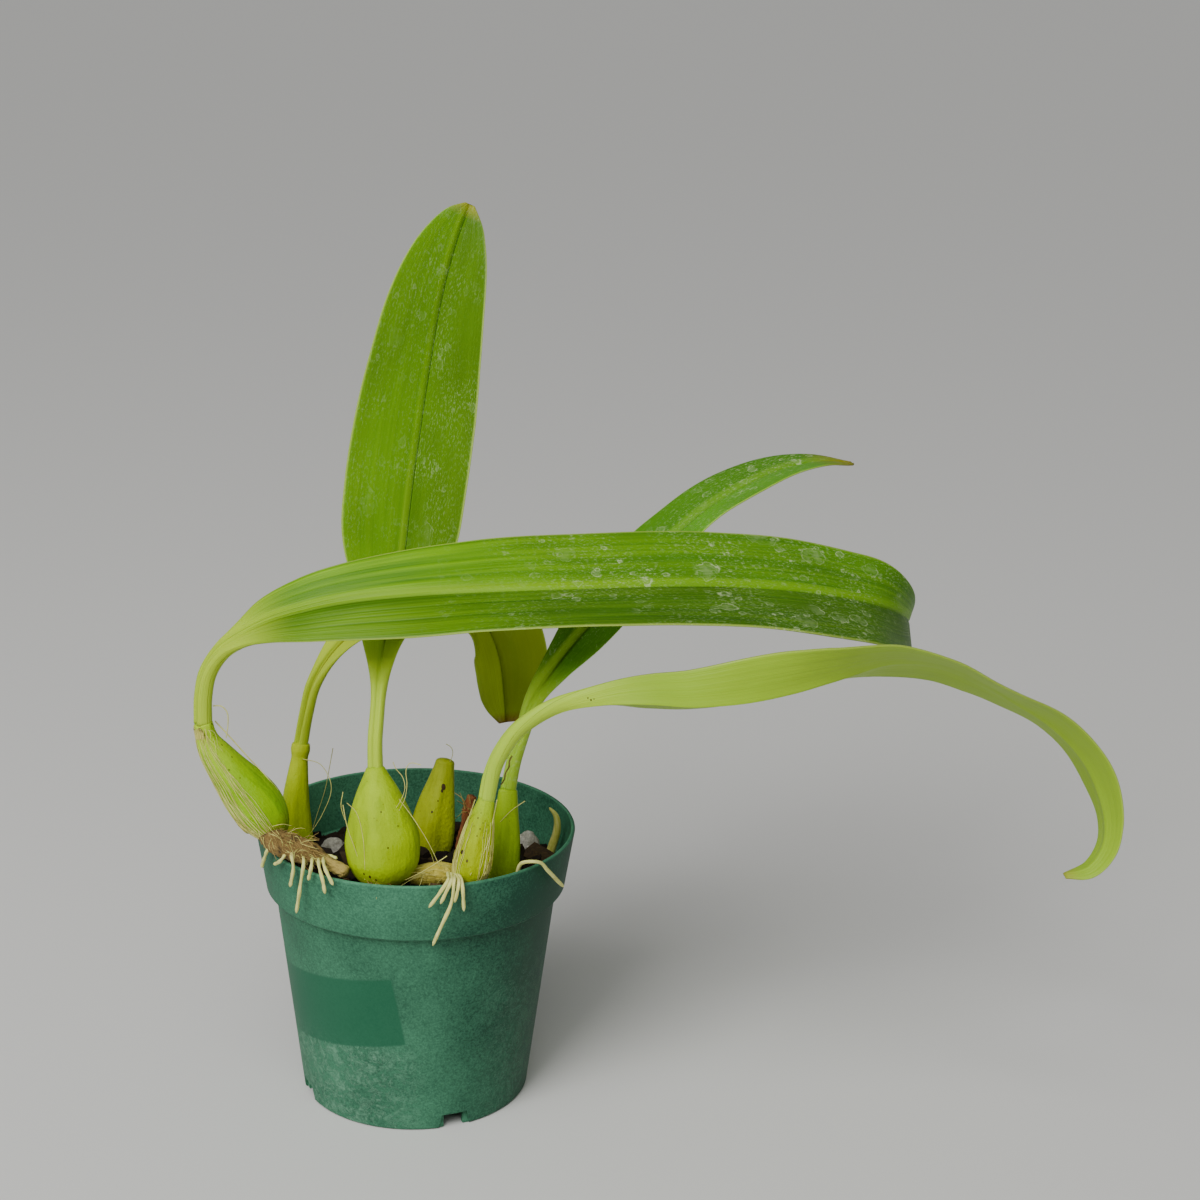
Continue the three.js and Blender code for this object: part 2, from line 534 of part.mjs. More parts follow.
// The bark mix: it fills the pot, a gap clear of the wall, up to its top with loose chips, and
// has a plain hole for each piece that stands in it.
function mixBody(sockets) {
  const filling = solid(revolve(POT_INSIDE.map(([r, z]) => [r - GAP, z + GAP]), SOIL_SIDES));
  const surface = Array.from({ length: SOIL_RINGS }, (_, k) => {
    const radius = RIM_RADIUS * (1 - (k + 0.2) / SOIL_RINGS);
    return circle(radius, 0, SOIL_SIDES).map(({ x, y }) => at(x, y, soilHeight(x, y)));
  });
  const lid = circle(2 * RIM_RADIUS, 2 * POT_HEIGHT, SOIL_SIDES);
  const rim = circle(2 * RIM_RADIUS, SOIL_LEVEL, SOIL_SIDES);
  const air = solid(ringBody([lid, rim, ...surface]));
  const draw = seeded(7);
  let body = filling.subtract(air);
  for (let i = 0; i < CHIP_COUNT; i += 1) {
    body = body.add(chipBody(draw).intersect(filling));
  }
  sockets.forEach((socket) => { body = body.subtract(socket); });
  return largest(body);
}

// Colours and finishes, matched by eye.
const FINISH = {
  pot: { color: 0x3f7a5f, roughness: 0.62 },
  mix: { color: 0x3b2a1c, roughness: 0.95 },
  pumice: { color: 0xc9c3b6, roughness: 0.95 },
  bulb: { color: 0xb0c02a, roughness: 0.4 },
  leaf: { color: 0x6f9a24, roughness: 0.45 },
  underside: { color: 0x9db84c, roughness: 0.55 },
  rhizome: { color: 0x9a8250, roughness: 0.85 },
  sheath: { color: 0xc2b06a, roughness: 0.8 },
  root: { color: 0xe2dcb8, roughness: 0.7 },
  sprout: { color: 0xa9a850, roughness: 0.6 },
  dry: { color: 0x8a5a32, roughness: 0.85 },
};

const plant = new THREE.Group();

function place(name, geometry, finish) {
  const material = new THREE.MeshStandardMaterial({ ...FINISH[finish], metalness: 0 });
  const mesh = new THREE.Mesh(geometry, material);
  mesh.name = name;
  plant.add(mesh);
}

place('pot', potGeometry(), 'pot');
const bulbSockets = Object.keys(BULBS).map((name) => solid(bulbGeometry(name, GAP)));
Object.keys(BULBS).forEach((name) => {
  place(`pseudobulb_${name}`, bulbGeometry(name), 'bulb');
});
Object.entries(LEAVES).forEach(([name, leaf]) => {
  place(`leaf_${name}`, leafGeometry(leaf), name === 'right_front' ? 'underside' : 'leaf');
});
Object.keys(RHIZOMES).forEach((name) => {
  const cut = bulbSockets.reduce((body, socket) => body.subtract(socket), rhizomeBody(name));
  place(`rhizome_${name}`, geometryOf(largest(cut)), name === 'left' ? 'rhizome' : 'sheath');
});
place('sprout', slimGeometry('sprout'), 'sprout');
place('flower_stub', slimGeometry('flower_stub'), 'dry');
place('root_over_rim', slimGeometry('root_over_rim'), 'root');
Object.keys(PUMICE).forEach((name) => place(name, pumiceGeometry(name), 'pumice'));
const sockets = [
  ...bulbSockets,
  ...Object.keys(RHIZOMES).map((name) => rhizomeStem(name, GAP)),
  ...Object.keys(SLIM).map((name) => solid(slimGeometry(name, GAP))),
  ...Object.keys(PUMICE).map((name) => solid(pumiceGeometry(name, GAP))),
];
place('potting_mix', geometryOf(mixBody(sockets)), 'mix');

export default plant;
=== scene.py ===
"""The looks of a potted Bulbophyllum lobbii out of flower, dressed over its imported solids.

The sub-assemblies hold their sizes in millimetres, as on a drawing, and MM turns them to the
metres of the scene. +Z is up, +X to the right and +Y away from the viewer, and the origin is
the middle of the pot's underside.
"""

import logging
import math
import random
from collections.abc import Callable, Iterable
from dataclasses import dataclass, field
from enum import Enum
from functools import lru_cache, partial

import bpy
from mathutils import Euler, Matrix, Vector, noise
from mathutils.bvhtree import BVHTree


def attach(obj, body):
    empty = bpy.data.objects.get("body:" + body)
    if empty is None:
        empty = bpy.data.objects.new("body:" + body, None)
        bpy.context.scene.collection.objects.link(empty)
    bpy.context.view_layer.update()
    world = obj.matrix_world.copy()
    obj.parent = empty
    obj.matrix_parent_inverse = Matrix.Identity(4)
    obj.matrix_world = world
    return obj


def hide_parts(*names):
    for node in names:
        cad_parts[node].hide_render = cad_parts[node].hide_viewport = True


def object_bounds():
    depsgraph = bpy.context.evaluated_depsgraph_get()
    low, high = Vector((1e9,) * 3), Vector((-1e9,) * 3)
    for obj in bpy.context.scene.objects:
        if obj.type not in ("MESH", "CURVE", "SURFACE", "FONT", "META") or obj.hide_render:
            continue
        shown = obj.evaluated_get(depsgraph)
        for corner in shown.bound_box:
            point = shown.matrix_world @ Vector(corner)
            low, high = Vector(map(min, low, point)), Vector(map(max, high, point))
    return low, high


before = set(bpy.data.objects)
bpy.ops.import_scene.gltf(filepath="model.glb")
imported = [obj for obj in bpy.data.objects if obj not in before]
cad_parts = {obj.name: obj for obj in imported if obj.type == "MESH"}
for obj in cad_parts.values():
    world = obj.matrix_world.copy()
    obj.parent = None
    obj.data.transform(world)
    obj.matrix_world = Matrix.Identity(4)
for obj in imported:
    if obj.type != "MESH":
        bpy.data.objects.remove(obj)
CAD_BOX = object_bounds()

LOG = logging.getLogger("bulbophyllum")
MM = 0.001
BODY = "root"
MOST_CUTS = 100
SKIN_MARGIN = 0.02
THREAD_MARGIN = 0.05
HAIR_CLEAR = 0.2
HAIR_TIP = 0.7
SOIL_MIDDLE = 76
SOIL_FALL = 0.17
SOIL_WAVE = 0.9
KEEP_OFF_STEPS = 10
KEEP_OFF_HEIGHT = 9
FRAME_STEPS = 240
FULL_TURN = 2 * math.pi
FRONT = Vector((0.0, -1.0, 0.0))
UP = Vector((0.0, 0.0, 1.0))
BOX_LOW, BOX_HIGH = (Vector(corner) / MM for corner in CAD_BOX)

Keys = tuple[tuple[float, ...], ...]
Point = tuple[float, float, float]
Pixel = tuple[float, float]
Spot = tuple[Vector, Vector, Vector]
Section = Callable[[float], Spot]
Piece = bpy.types.Object
Node = bpy.types.Node
Socket = bpy.types.NodeSocket
Adder = Callable[..., Node]
Values = dict[str | int, object]


class Slot(str, Enum):
    """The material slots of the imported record."""

    POT = "pot_plastic"
    MIX = "bark_mix"
    PUMICE = "pumice"
    BULB = "pseudobulb"
    LEAF_GREEN = "leaf_green"
    LEAF_PALE = "leaf_pale"
    LEAF_OLIVE = "leaf_olive"
    LEAF_DARK = "leaf_dark"
    RHIZOME = "rhizome"
    SPROUT = "sprout"
    DRY_STEM = "dry_stem"
    ROOT = "root"


def keyed(keys: Keys, fraction: float) -> list[float]:
    """Read a smooth curve through rows of (fraction, value, value, ...).

    Args:
        keys: the rows, in order of their fraction.
        fraction: where to read.

    Returns:
        The values at that fraction.
    """
    last = len(keys) - 1
    t = min(max(fraction, keys[0][0]), keys[last][0])
    i = 0
    while i < last - 1 and t >= keys[i + 1][0]:
        i += 1

    def rise(k: int, column: int) -> float:
        """The slope of the straight line from row k to the next."""
        return (keys[k + 1][column] - keys[k][column]) / (keys[k + 1][0] - keys[k][0])

    def slope(k: int, column: int) -> float:
        """The slope of the curve at row k."""
        if k == 0:
            return rise(0, column)
        if k == last:
            return rise(last - 1, column)
        return (rise(k - 1, column) + rise(k, column)) / 2

    span = keys[i + 1][0] - keys[i][0]
    s = (t - keys[i][0]) / span
    return [
        (2 * s**3 - 3 * s**2 + 1) * keys[i][c]
        + (s**3 - 2 * s**2 + s) * span * slope(i, c)
        + (3 * s**2 - 2 * s**3) * keys[i + 1][c]
        + (s**3 - s**2) * span * slope(i + 1, c)
        for c in range(1, len(keys[0]))
    ]


class Route:
    """A smooth centripetal curve through given points, read by the fraction of its length."""

    SAMPLES = 400
    NUDGE = 1e-4

    def __init__(self, points: Iterable[Iterable[float]]) -> None:
        """Measure the curve.

        Args:
            points: the points that it passes through, in millimetres.
        """
        self.knots = [Vector(point) for point in points]
        self.reach = [0.0]
        before = self._spot(0.0)
        for i in range(1, self.SAMPLES + 1):
            spot = self._spot(i / self.SAMPLES)
            self.reach.append(self.reach[-1] + (spot - before).length)
            before = spot
        self.length = self.reach[-1]

    def _spot(self, t: float) -> Vector:
        """The point at t, which runs from 0 to 1 evenly over the knots."""
        spans = len(self.knots) - 1
        place = min(max(t, 0.0), 1.0) * spans
        i = min(int(place), spans - 1)
        s = place - i
        p1, p2 = self.knots[i], self.knots[i + 1]
        p0 = self.knots[i - 1] if i else 2 * p1 - p2
        p3 = self.knots[i + 2] if i + 2 <= spans else 2 * p2 - p1
        d0, d1, d2 = ((b - a).length ** 0.5 for a, b in ((p0, p1), (p1, p2), (p2, p3)))
        m1 = ((p1 - p0) / d0 - (p2 - p0) / (d0 + d1) + (p2 - p1) / d1) * d1
        m2 = ((p2 - p1) / d1 - (p3 - p1) / (d1 + d2) + (p3 - p2) / d2) * d1
        bend = -3 * p1 + 3 * p2 - 2 * m1 - m2
        return p1 + m1 * s + bend * s**2 + (2 * p1 - 2 * p2 + m1 + m2) * s**3

    def _knot_time(self, fraction: float) -> float:
        """The t that lies at this fraction of the length."""
        goal = min(max(fraction, 0.0), 1.0) * self.length
        low, high = 0, self.SAMPLES
        while high - low > 1:
            middle = (low + high) // 2
            low, high = (middle, high) if self.reach[middle] <= goal else (low, middle)
        step = self.reach[high] - self.reach[low]
        return (low + (goal - self.reach[low]) / step) / self.SAMPLES

    def at(self, fraction: float) -> Vector:
        """The point at this fraction of the length."""
        return self._spot(self._knot_time(fraction))

    def tangent(self, fraction: float) -> Vector:
        """The way that the curve runs at this fraction of the length."""
        t = self._knot_time(fraction)
        ahead = self._spot(min(t + self.NUDGE, 1.0))
        return (ahead - self._spot(max(t - self.NUDGE, 0.0))).normalized()

    def frames(self, steps: int) -> list[tuple[Vector, ...]]:
        """Carry a pair of cross directions along the curve without twist.

        Args:
            steps: how many equal stretches the curve is cut into.

        Returns:
            Point, tangent, front and right at each of the steps + 1 places.
        """
        tangent = self.tangent(0.0)
        near_front = abs(tangent.dot(FRONT)) > 0.9
        normal = UP if near_front else FRONT
        rows = []
        for i in range(steps + 1):
            tangent = self.tangent(i / steps)
            normal = (normal - tangent * normal.dot(tangent)).normalized()
            rows.append((self.at(i / steps), tangent, normal, tangent.cross(normal)))
        return rows


@lru_cache
def carried_frames(path: tuple[Point, ...], steps: int) -> list[tuple[Vector, ...]]:
    """The frames along a path, worked out once."""
    return Route(path).frames(steps)


def choose(*pieces: Piece) -> None:
    """Select these pieces alone, or nothing, and make the first of them the active one."""
    bpy.ops.object.select_all(action="DESELECT")
    for piece in pieces:
        piece.select_set(True)
    if pieces:
        bpy.context.view_layer.objects.active = pieces[0]


def added(name: str, data: bpy.types.ID) -> Piece:
    """Add an object that holds this data to the scene."""
    new = bpy.data.objects.new(name, data)
    bpy.context.collection.objects.link(new)
    return new


def named(piece: Piece, name: str) -> Piece:
    """Give a piece and its mesh one name."""
    piece.name = piece.data.name = name
    return piece


def joined(pieces: list[Piece], name: str) -> Piece:
    """Join pieces into the first of them, under one name."""
    choose(*pieces)
    bpy.ops.object.join()
    return named(pieces[0], name)


def freeze() -> None:
    """Move the chosen piece's own place, turn and size into its mesh."""
    bpy.ops.object.transform_apply(location=True, rotation=True, scale=True)


def inside_box(point: Vector, margin: float) -> Vector:
    """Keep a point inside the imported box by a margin, both in millimetres."""
    rows = zip(point, BOX_LOW, BOX_HIGH)
    return Vector([min(max(part, low + margin), high - margin) for part, low, high in rows])


def apply_modifiers(piece: Piece) -> None:
    """Apply a piece's modifiers in their order."""
    choose(piece)
    for modifier in list(piece.modifiers):
        bpy.ops.object.modifier_apply(modifier=modifier.name)


def settle(piece: Piece, slot: Slot, finish: bpy.types.Material, *nodes: str) -> None:
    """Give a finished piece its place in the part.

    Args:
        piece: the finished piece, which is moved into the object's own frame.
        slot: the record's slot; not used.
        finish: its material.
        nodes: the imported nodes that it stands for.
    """
    choose(piece)
    freeze()
    piece.data.materials.clear()
    piece.data.materials.append(finish)
    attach(piece, BODY)
    if nodes:
        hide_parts(*nodes)
    LOG.info("%s: %d faces", piece.name, len(piece.data.polygons))


def cut_upright(piece: Piece, cuts: int) -> None:
    """Cut each upright edge of a cylinder's wall into equal stretches."""
    mesh = piece.data
    bpy.context.tool_settings.mesh_select_mode = (False, True, False)
    mesh.vertices.foreach_set("select", [False] * len(mesh.vertices))
    mesh.polygons.foreach_set("select", [False] * len(mesh.polygons))
    for edge in mesh.edges:
        start, end = (mesh.vertices[v].co for v in edge.vertices)
        edge.select = abs(start.z - end.z) > (start.xy - end.xy).length
    bpy.ops.object.mode_set(mode="EDIT")
    bpy.ops.mesh.subdivide(number_cuts=cuts)
    bpy.ops.object.mode_set(mode="OBJECT")


def skin(name: str, section_at: Callable[[float], Section], sides: int, rings: int) -> Piece:
    """Bend an upright cylinder into a closed, grown body.

    The cylinder's height stands for the fraction along the body, and the angle round it for
    the place round the section. Each corner keeps two attributes: grain is its place in
    millimetres across and along the skin, and place holds what the finish needs to know.

    Args:
        name: the piece's name.
        section_at: gives the section at a fraction, which gives each corner at a turn.
        sides: corners round the section.
        rings: stretches along the body.

    Returns:
        The new piece, in metres.
    """
    choose()
    bpy.ops.mesh.primitive_cylinder_add(
        vertices=sides, radius=1, depth=1, end_fill_type="TRIFAN", calc_uvs=False
    )
    piece = named(bpy.context.object, name)
    if rings <= MOST_CUTS:
        cut_upright(piece, rings - 1)
    else:
        cut_upright(piece, rings // 4 - 1)
        cut_upright(piece, 3)
    sections = [section_at(i / rings) for i in range(rings + 1)]
    for kept in ("grain", "place"):
        piece.data.attributes.new(kept, "FLOAT_VECTOR", "POINT")
    grain, place = (piece.data.attributes[kept].data for kept in ("grain", "place"))
    for corner in piece.data.vertices:
        section = sections[round((corner.co.z + 0.5) * rings)]
        if corner.co.xy.length < 0.5:
            spots = [section(quarter * math.pi / 2) for quarter in range(4)]
            spot = tuple(sum(parts, Vector((0, 0, 0))) / 4 for parts in zip(*spots))
        else:
            spot = section(math.atan2(corner.co.y, corner.co.x))
        corner.co = inside_box(spot[0], SKIN_MARGIN) * MM
        grain[corner.index].vector = spot[1]
        place[corner.index].vector = spot[2]
    choose(piece)
    bpy.ops.object.shade_smooth()
    return piece


class Strands:
    """Fine threads gathered in one piece."""

    def __init__(self, name: str) -> None:
        """Start a piece with no threads yet."""
        self.curve = bpy.data.curves.new(name, "CURVE")
        self.curve.dimensions = "3D"
        self.curve.bevel_depth = MM
        self.curve.bevel_resolution = 0
        self.curve.use_fill_caps = True

    def add(
        self, points: Iterable[Iterable[float]], radius: float, tip: float = 0.4, step: float = 1.2
    ) -> None:
        """Lay one thread.

        Args:
            points: what it passes through, in millimetres.
            radius: its radius at the root, in millimetres.
            tip: the share of that radius left at the tip.
            step: the longest straight stretch, in millimetres.
        """
        route = Route(points)
        count = max(4, int(route.length / step))
        spline = self.curve.splines.new("POLY")
        spline.points.add(count)
        for i, point in enumerate(spline.points):
            share = i / count
            point.co = (*(inside_box(route.at(share), radius + THREAD_MARGIN) * MM), 1.0)
            point.radius = radius * (1 - (1 - tip) * share**1.5)

    def build(self) -> Piece:
        """Turn the threads into one mesh piece.

        Returns:
            The new piece, in metres.
        """
        choose(added(self.curve.name, self.curve))
        bpy.ops.object.convert(target="MESH")
        bpy.ops.object.shade_smooth()
        return bpy.context.object


def linear(colour: str) -> tuple[float, float, float, float]:
    """Turn an sRGB hex value into the linear colour that a shader takes."""
    parts = [int(colour[i : i + 2], 16) / 255 for i in (1, 3, 5)]
    return (*(c / 12.92 if c <= 0.04045 else ((c + 0.055) / 1.055) ** 2.4 for c in parts), 1.0)


def feed(tree: bpy.types.NodeTree, target: Node, values: Values) -> None:
    """Feed a node's inputs.

    Args:
        tree: the material's node tree.
        target: the node to feed.
        values: input name or number to a number, an sRGB hex colour, a socket, or a node,
            whose first live output is then used.
    """
    for key, value in values.items():
        socket = key if isinstance(key, int) else next(
            i for i, entry in enumerate(target.inputs) if entry.name == key and entry.enabled
        )
        if isinstance(value, Node):
            value = next(entry for entry in value.outputs if entry.enabled)
        if isinstance(value, Socket):
            tree.links.new(value, target.inputs[socket])
        else:
            target.inputs[socket].default_value = linear(value) if isinstance(value, str) else value


def add(tree: bpy.types.NodeTree, kind: str, values: Values | None = None, **settings: object) -> Node:
    """Add one shader node.

    Args:
        tree: the material's node tree.
        kind: the node's type, without its ShaderNode prefix.
        values: what its inputs take, as in feed.
        settings: the node's own settings.

    Returns:
        The new node.
    """
    new = tree.nodes.new(f"ShaderNode{kind}")
    for setting, value in settings.items():
        setattr(new, setting, value)
    feed(tree, new, values or {})
    return new


def grown_places(node: Adder) -> tuple[Socket, list[Socket]]:
    """Read the two attributes that skin keeps.

    Args:
        node: adds a node to the material.

    Returns:
        grain whole, and the three parts of place.
    """
    grain, place = (node("Attribute", attribute_name=name).outputs["Vector"] for name in ("grain", "place"))
    return grain, list(node("SeparateXYZ", {"Vector": place}).outputs)


def spot_in_millimetres(node: Adder) -> Node:
    """The place on the object, in millimetres."""
    return node("VectorMath", {0: node("TexCoord").outputs["Object"], 3: 1 / MM}, operation="SCALE")


def streaks(node: Adder, grain: Socket, width: float, length: float, detail: float = 2.0) -> Node:
    """Soft streaks that run along a grown surface.

    Args:
        node: adds a node to the material.
        grain: millimetres across, through and along the surface.
        width: how wide a streak is, in millimetres.
        length: how long a streak is, in millimetres.
        detail: how fine the noise goes.

    Returns:
        The pattern, from 0 to 1.
    """
    stretched = node("Mapping", {"Vector": grain, "Scale": (1 / width, 1 / width, 1 / length)})
    streaked = node("TexNoise", {"Vector": stretched, "Scale": 1.0, "Detail": detail})
    return node("MapRange", {"Value": streaked, "From Min": 0.3, "From Max": 0.7})


def water_marks(node: Adder, grain: Socket, cell: float, line: float, share: float) -> Node:
    """The broken white outlines that hard water leaves where drops dried.

    Args:
        node: adds a node to the material.
        grain: millimetres across, through and along the surface.
        cell: the spacing of the drops, in millimetres.
        line: the width of an outline, in millimetres.
        share: the share of places that hold a drop.

    Returns:
        The pattern, from 0 to 1.
    """
    wobble = node("TexNoise", {"Vector": grain, "Scale": 3.2 / cell, "Detail": 3.0})
    shift = node("VectorMath", {0: wobble.outputs["Color"], 1: (0.5,) * 3}, operation="SUBTRACT")
    pushed = node("VectorMath", {0: shift, 1: (cell * 0.55,) * 3, 2: grain}, operation="MULTIPLY_ADD")
    shaped = node("Mapping", {"Vector": pushed, "Scale": (1 / cell, 0.2 / cell, 0.72 / cell)})
    drops = node("TexVoronoi", {"Vector": shaped, "Scale": 1.0})
    chance = node("SeparateColor", {"Color": drops.outputs["Color"]}).outputs
    radius = node("MapRange", {"Value": chance[0], "To Min": 0.1, "To Max": 0.42})
    inside = node("Math", {0: radius, 1: drops.outputs["Distance"]}, operation="SUBTRACT")
    off = node("Math", {0: inside}, operation="ABSOLUTE")
    marks = node("MapRange", {"Value": off, "From Min": line / cell, "From Max": 0.3 * line / cell})
    film = node("MapRange", {"Value": inside, "From Min": 0.0, "From Max": 0.12, "To Max": 0.35})
    held = node("Math", {0: chance[1], 1: share}, operation="LESS_THAN")
    patchy = node("MapRange", {"Value": wobble, "From Min": 0.36, "From Max": 0.6})
    for step, other in (("MAXIMUM", film), ("MULTIPLY", held), ("MULTIPLY", patchy)):
        marks = node("Math", {0: marks, 1: other}, operation=step)
    return marks


@dataclass(frozen=True)
class Finish:
    """What every finish has: its real material's name, and what its shader's sockets take."""

    name: str

    def sockets(self, node: Adder) -> dict[str, object]:
        """Work out what the shader's sockets take.

        Args:
            node: adds a node to the material, as add does.

        Returns:
            Each socket's name with its uniform value, or with the node that feeds it.
        """
        raise NotImplementedError

    def build(self) -> bpy.types.Material:
        """Make the material.

        Returns:
            The finished material.
        """
        material = bpy.data.materials.new(self.name)
        material.use_nodes = True
        tree = material.node_tree
        feed(tree, tree.nodes["Principled BSDF"], self.sockets(partial(add, tree)))
        return material


@dataclass(frozen=True)
class LeatheryLeaf(Finish):
    """A thick living leaf with a waxy skin: satin, streaked along its veins and spotted white."""

    green: str
    light: str
    stalk: str
    underside: str
    tip: str
    blade_from: float = 0.2
    tip_from: float = 0.98
    veins: float = 0.5
    # The midrib's strength here, with the rib colour, place and width below, paints a highlight on one flank
    # of the midrib's groove.
    midrib: float = 0.6
    minerals: float = 0.5
    minerals_from: float = 0.2
    # Painted shading of the blade's half on the negative side of the midrib: below 1 it paints shade there,
    # above 1 it paints light.
    painted_half_shading: float = 0.8
    # How dark the painted shadow in the midrib's groove is, on the stalk and on the blade.
    stalk_groove_shadow: float = 0.0
    groove: float = 0.6
    rib: str = "#a2c62c"
    rib_highlight_place: float = 1.5
    rib_highlight_width: float = 2.4
    dusting: float = 0.7
    rings: float = 1.0

    def vein_lines(self, node: Adder, run: Node) -> tuple[Node, Node]:
        """Draw the veins along the blade. Their pale lines are partly the veins' own colour and partly a
        painted highlight where their ridges catch the light.

        Args:
            node: adds a node to the material.
            run: a place on the blade that follows its outline.

        Returns:
            The wide veins and the fine ones, each from 0 to 1.
        """
        lines = []
        for scale, detail, low, high in (
            ((7.5, 9.0, 1 / 110), 2.0, 0.36, 0.64),
            ((26.0, 9.0, 1 / 70), 3.0, 0.34, 0.66),
        ):
            drawn = node("Mapping", {"Vector": run, "Scale": scale})
            line = node("TexNoise", {"Vector": drawn, "Scale": 1.0, "Detail": detail})
            lines.append(node("MapRange", {"Value": line, "From Min": low, "From Max": high}))
        return lines[0], lines[1]

    def minerals_left(self, node: Adder, grain: Socket, along: Socket, upper: Socket) -> Node:
        """What hard water leaves: large broken rings, small rings and a dust of flecks.

        Args:
            node: adds a node to the material.
            grain: millimetres across, through and along the leaf.
            along: the fraction of its length.
            upper: 1 on its upper side and 0 below.

        Returns:
            How white the leaf is, from 0 to 1.
        """
        white = water_marks(node, grain, 8.0, 0.28, 0.28)
        small = water_marks(node, grain, 3.0, 0.24, 0.5)
        drawn = node("Mapping", {"Vector": grain, "Scale": (1.5, 1.5, 0.7)})
        flecks = node("TexNoise", {"Vector": drawn, "Scale": 1.0, "Detail": 4.0, "Roughness": 0.75})
        dust = {"Value": flecks, "From Min": 0.52, "From Max": 0.66, "To Max": self.dusting}
        flecks = node("MapRange", dust)
        zone = node("TexNoise", {"Vector": grain, "Scale": 0.06, "Detail": 2.0})
        zone = node("MapRange", {"Value": zone, "From Min": 0.36, "From Max": 0.62, "To Min": 0.1})
        began = node(
            "MapRange",
            {"Value": along, "From Min": self.minerals_from, "From Max": self.minerals_from + 0.25},
            interpolation_type="SMOOTHSTEP",
        )
        for step, other in (
            ("MAXIMUM", small), ("MULTIPLY", self.rings), ("MAXIMUM", flecks), ("MULTIPLY", zone),
            ("MULTIPLY", began), ("MULTIPLY", upper), ("MULTIPLY", self.minerals),
        ):
            white = node("Math", {0: white, 1: other}, operation=step)
        return white

    def blade(self, node: Adder, wide: Node, fine: Node, across: Socket, along: Socket, cloud: Node) -> Node:
        """The colour of the upper side, with painted shading on one half and no midrib yet.

        Args:
            node: adds a node to the material.
            wide: the wide veins.
            fine: the fine veins.
            across: millimetres from the midrib.
            along: the fraction of the leaf's length.
            cloud: a slow pattern that shades the blade.

        Returns:
            The colour.
        """
        # The paler veins are partly their own colour and partly a painted highlight along their ridges.
        early = {"Value": along, "From Min": 0.25, "From Max": 0.6, "To Min": 1, "To Max": 0.3}
        paler = {"Value": along, "From Min": 0.12, "From Max": 0.4, "To Min": 0.32, "To Max": 0}
        pale_veins_and_highlight = node("Math", {0: wide, 1: node("MapRange", early)}, operation="MULTIPLY")
        pale_veins_and_highlight = {0: pale_veins_and_highlight, 1: self.veins, 2: node("MapRange", paler)}
        pale_veins_and_highlight = node("Math", pale_veins_and_highlight, operation="MULTIPLY_ADD", use_clamp=True)
        hair = node("Math", {0: fine, 1: 0.35 * self.veins}, operation="MULTIPLY")
        colour = self.green
        for factor in (pale_veins_and_highlight, hair):
            colour = node("Mix", {"Factor": factor, "A": colour, "B": self.light}, data_type="RGBA")
        shade = node("MapRange", {"Value": cloud, "To Min": 0.86, "To Max": 1.12})
        # Painted shading: one half of the blade is darker or lighter, as light falls on the fold.
        half = {"Value": across, "From Min": -1.2, "From Max": 0.2, "To Min": self.painted_half_shading}
        shade = node("Math", {0: shade, 1: node("MapRange", half)}, operation="MULTIPLY")
        return node("VectorMath", {0: colour, 3: shade}, operation="SCALE")

    def painted_midrib_light_and_shadow(self, node: Adder, across: Socket, upper: Socket) -> list[Node]:
        """Paint the midrib's two lines along the upper side: a highlight on one flank and a shadow in the
        groove.

        Args:
            node: adds a node to the material.
            across: millimetres from the midrib.
            upper: 1 on the leaf's upper side and 0 below.

        Returns:
            The painted highlight on the flank and the painted shadow in the groove, each from 0 to 1.
        """
        lines = []
        # The first line is the painted highlight on one flank, the second the painted shadow in the groove.
        for place, outer, inner, most in (
            (self.rib_highlight_place, self.rib_highlight_width, self.rib_highlight_width / 4, self.midrib),
            (-0.25, 0.55, 0.1, 1.0),
        ):
            off = node("Math", {0: across, 1: place}, operation="SUBTRACT")
            off = node("Math", {0: off}, operation="ABSOLUTE")
            line = {"Value": off, "From Min": outer, "From Max": inner, "To Max": most}
            line = node("MapRange", line, interpolation_type="SMOOTHSTEP")
            lines.append(node("Math", {0: line, 1: upper}, operation="MULTIPLY"))
        return lines

    def sockets(self, node: Adder) -> dict[str, object]:
        """What the shader's sockets take, as Finish says."""
        grain, (edge, along, upper) = grown_places(node)
        across, _, far = node("SeparateXYZ", {"Vector": grain}).outputs
        # The veins follow the outline of the blade, so they close up towards both ends.
        signed = node("Math", {0: across}, operation="SIGN")
        signed = node("Math", {0: edge, 1: signed}, operation="MULTIPLY")
        wide, fine = self.vein_lines(node, node("CombineXYZ", {"X": signed, "Y": upper, "Z": far}))
        cloud = streaks(node, grain, 14, 34)
        faint = node("Math", {0: wide, 1: 0.28}, operation="MULTIPLY")
        under = node("Mix", {"Factor": faint, "A": self.underside, "B": self.light}, data_type="RGBA")
        below = node("MapRange", {"Value": cloud, "To Min": 0.93, "To Max": 1.06})
        under = node("VectorMath", {0: under, 3: below}, operation="SCALE")
        blade = self.blade(node, wide, fine, across, along, cloud)
        # Painted light and shade along the midrib: a painted highlight where one flank of its groove catches
        # the light, and a painted shadow in the groove, dark green on the blade and dark brown on the stalk.
        rib, groove_shadow = self.painted_midrib_light_and_shadow(node, across, upper)
        # The painted highlight's colour: the rib colour towards the foot, the light colour further out.
        near = node("MapRange", {"Value": along, "From Min": 0.35, "From Max": 0.6})
        ribbed = node("Mix", {"Factor": near, "A": self.rib, "B": self.light}, data_type="RGBA")
        stalk = {"Value": along, "From Min": self.blade_from + 0.07, "From Max": self.blade_from - 0.03}
        stalk = node("MapRange", stalk, interpolation_type="SMOOTHSTEP")
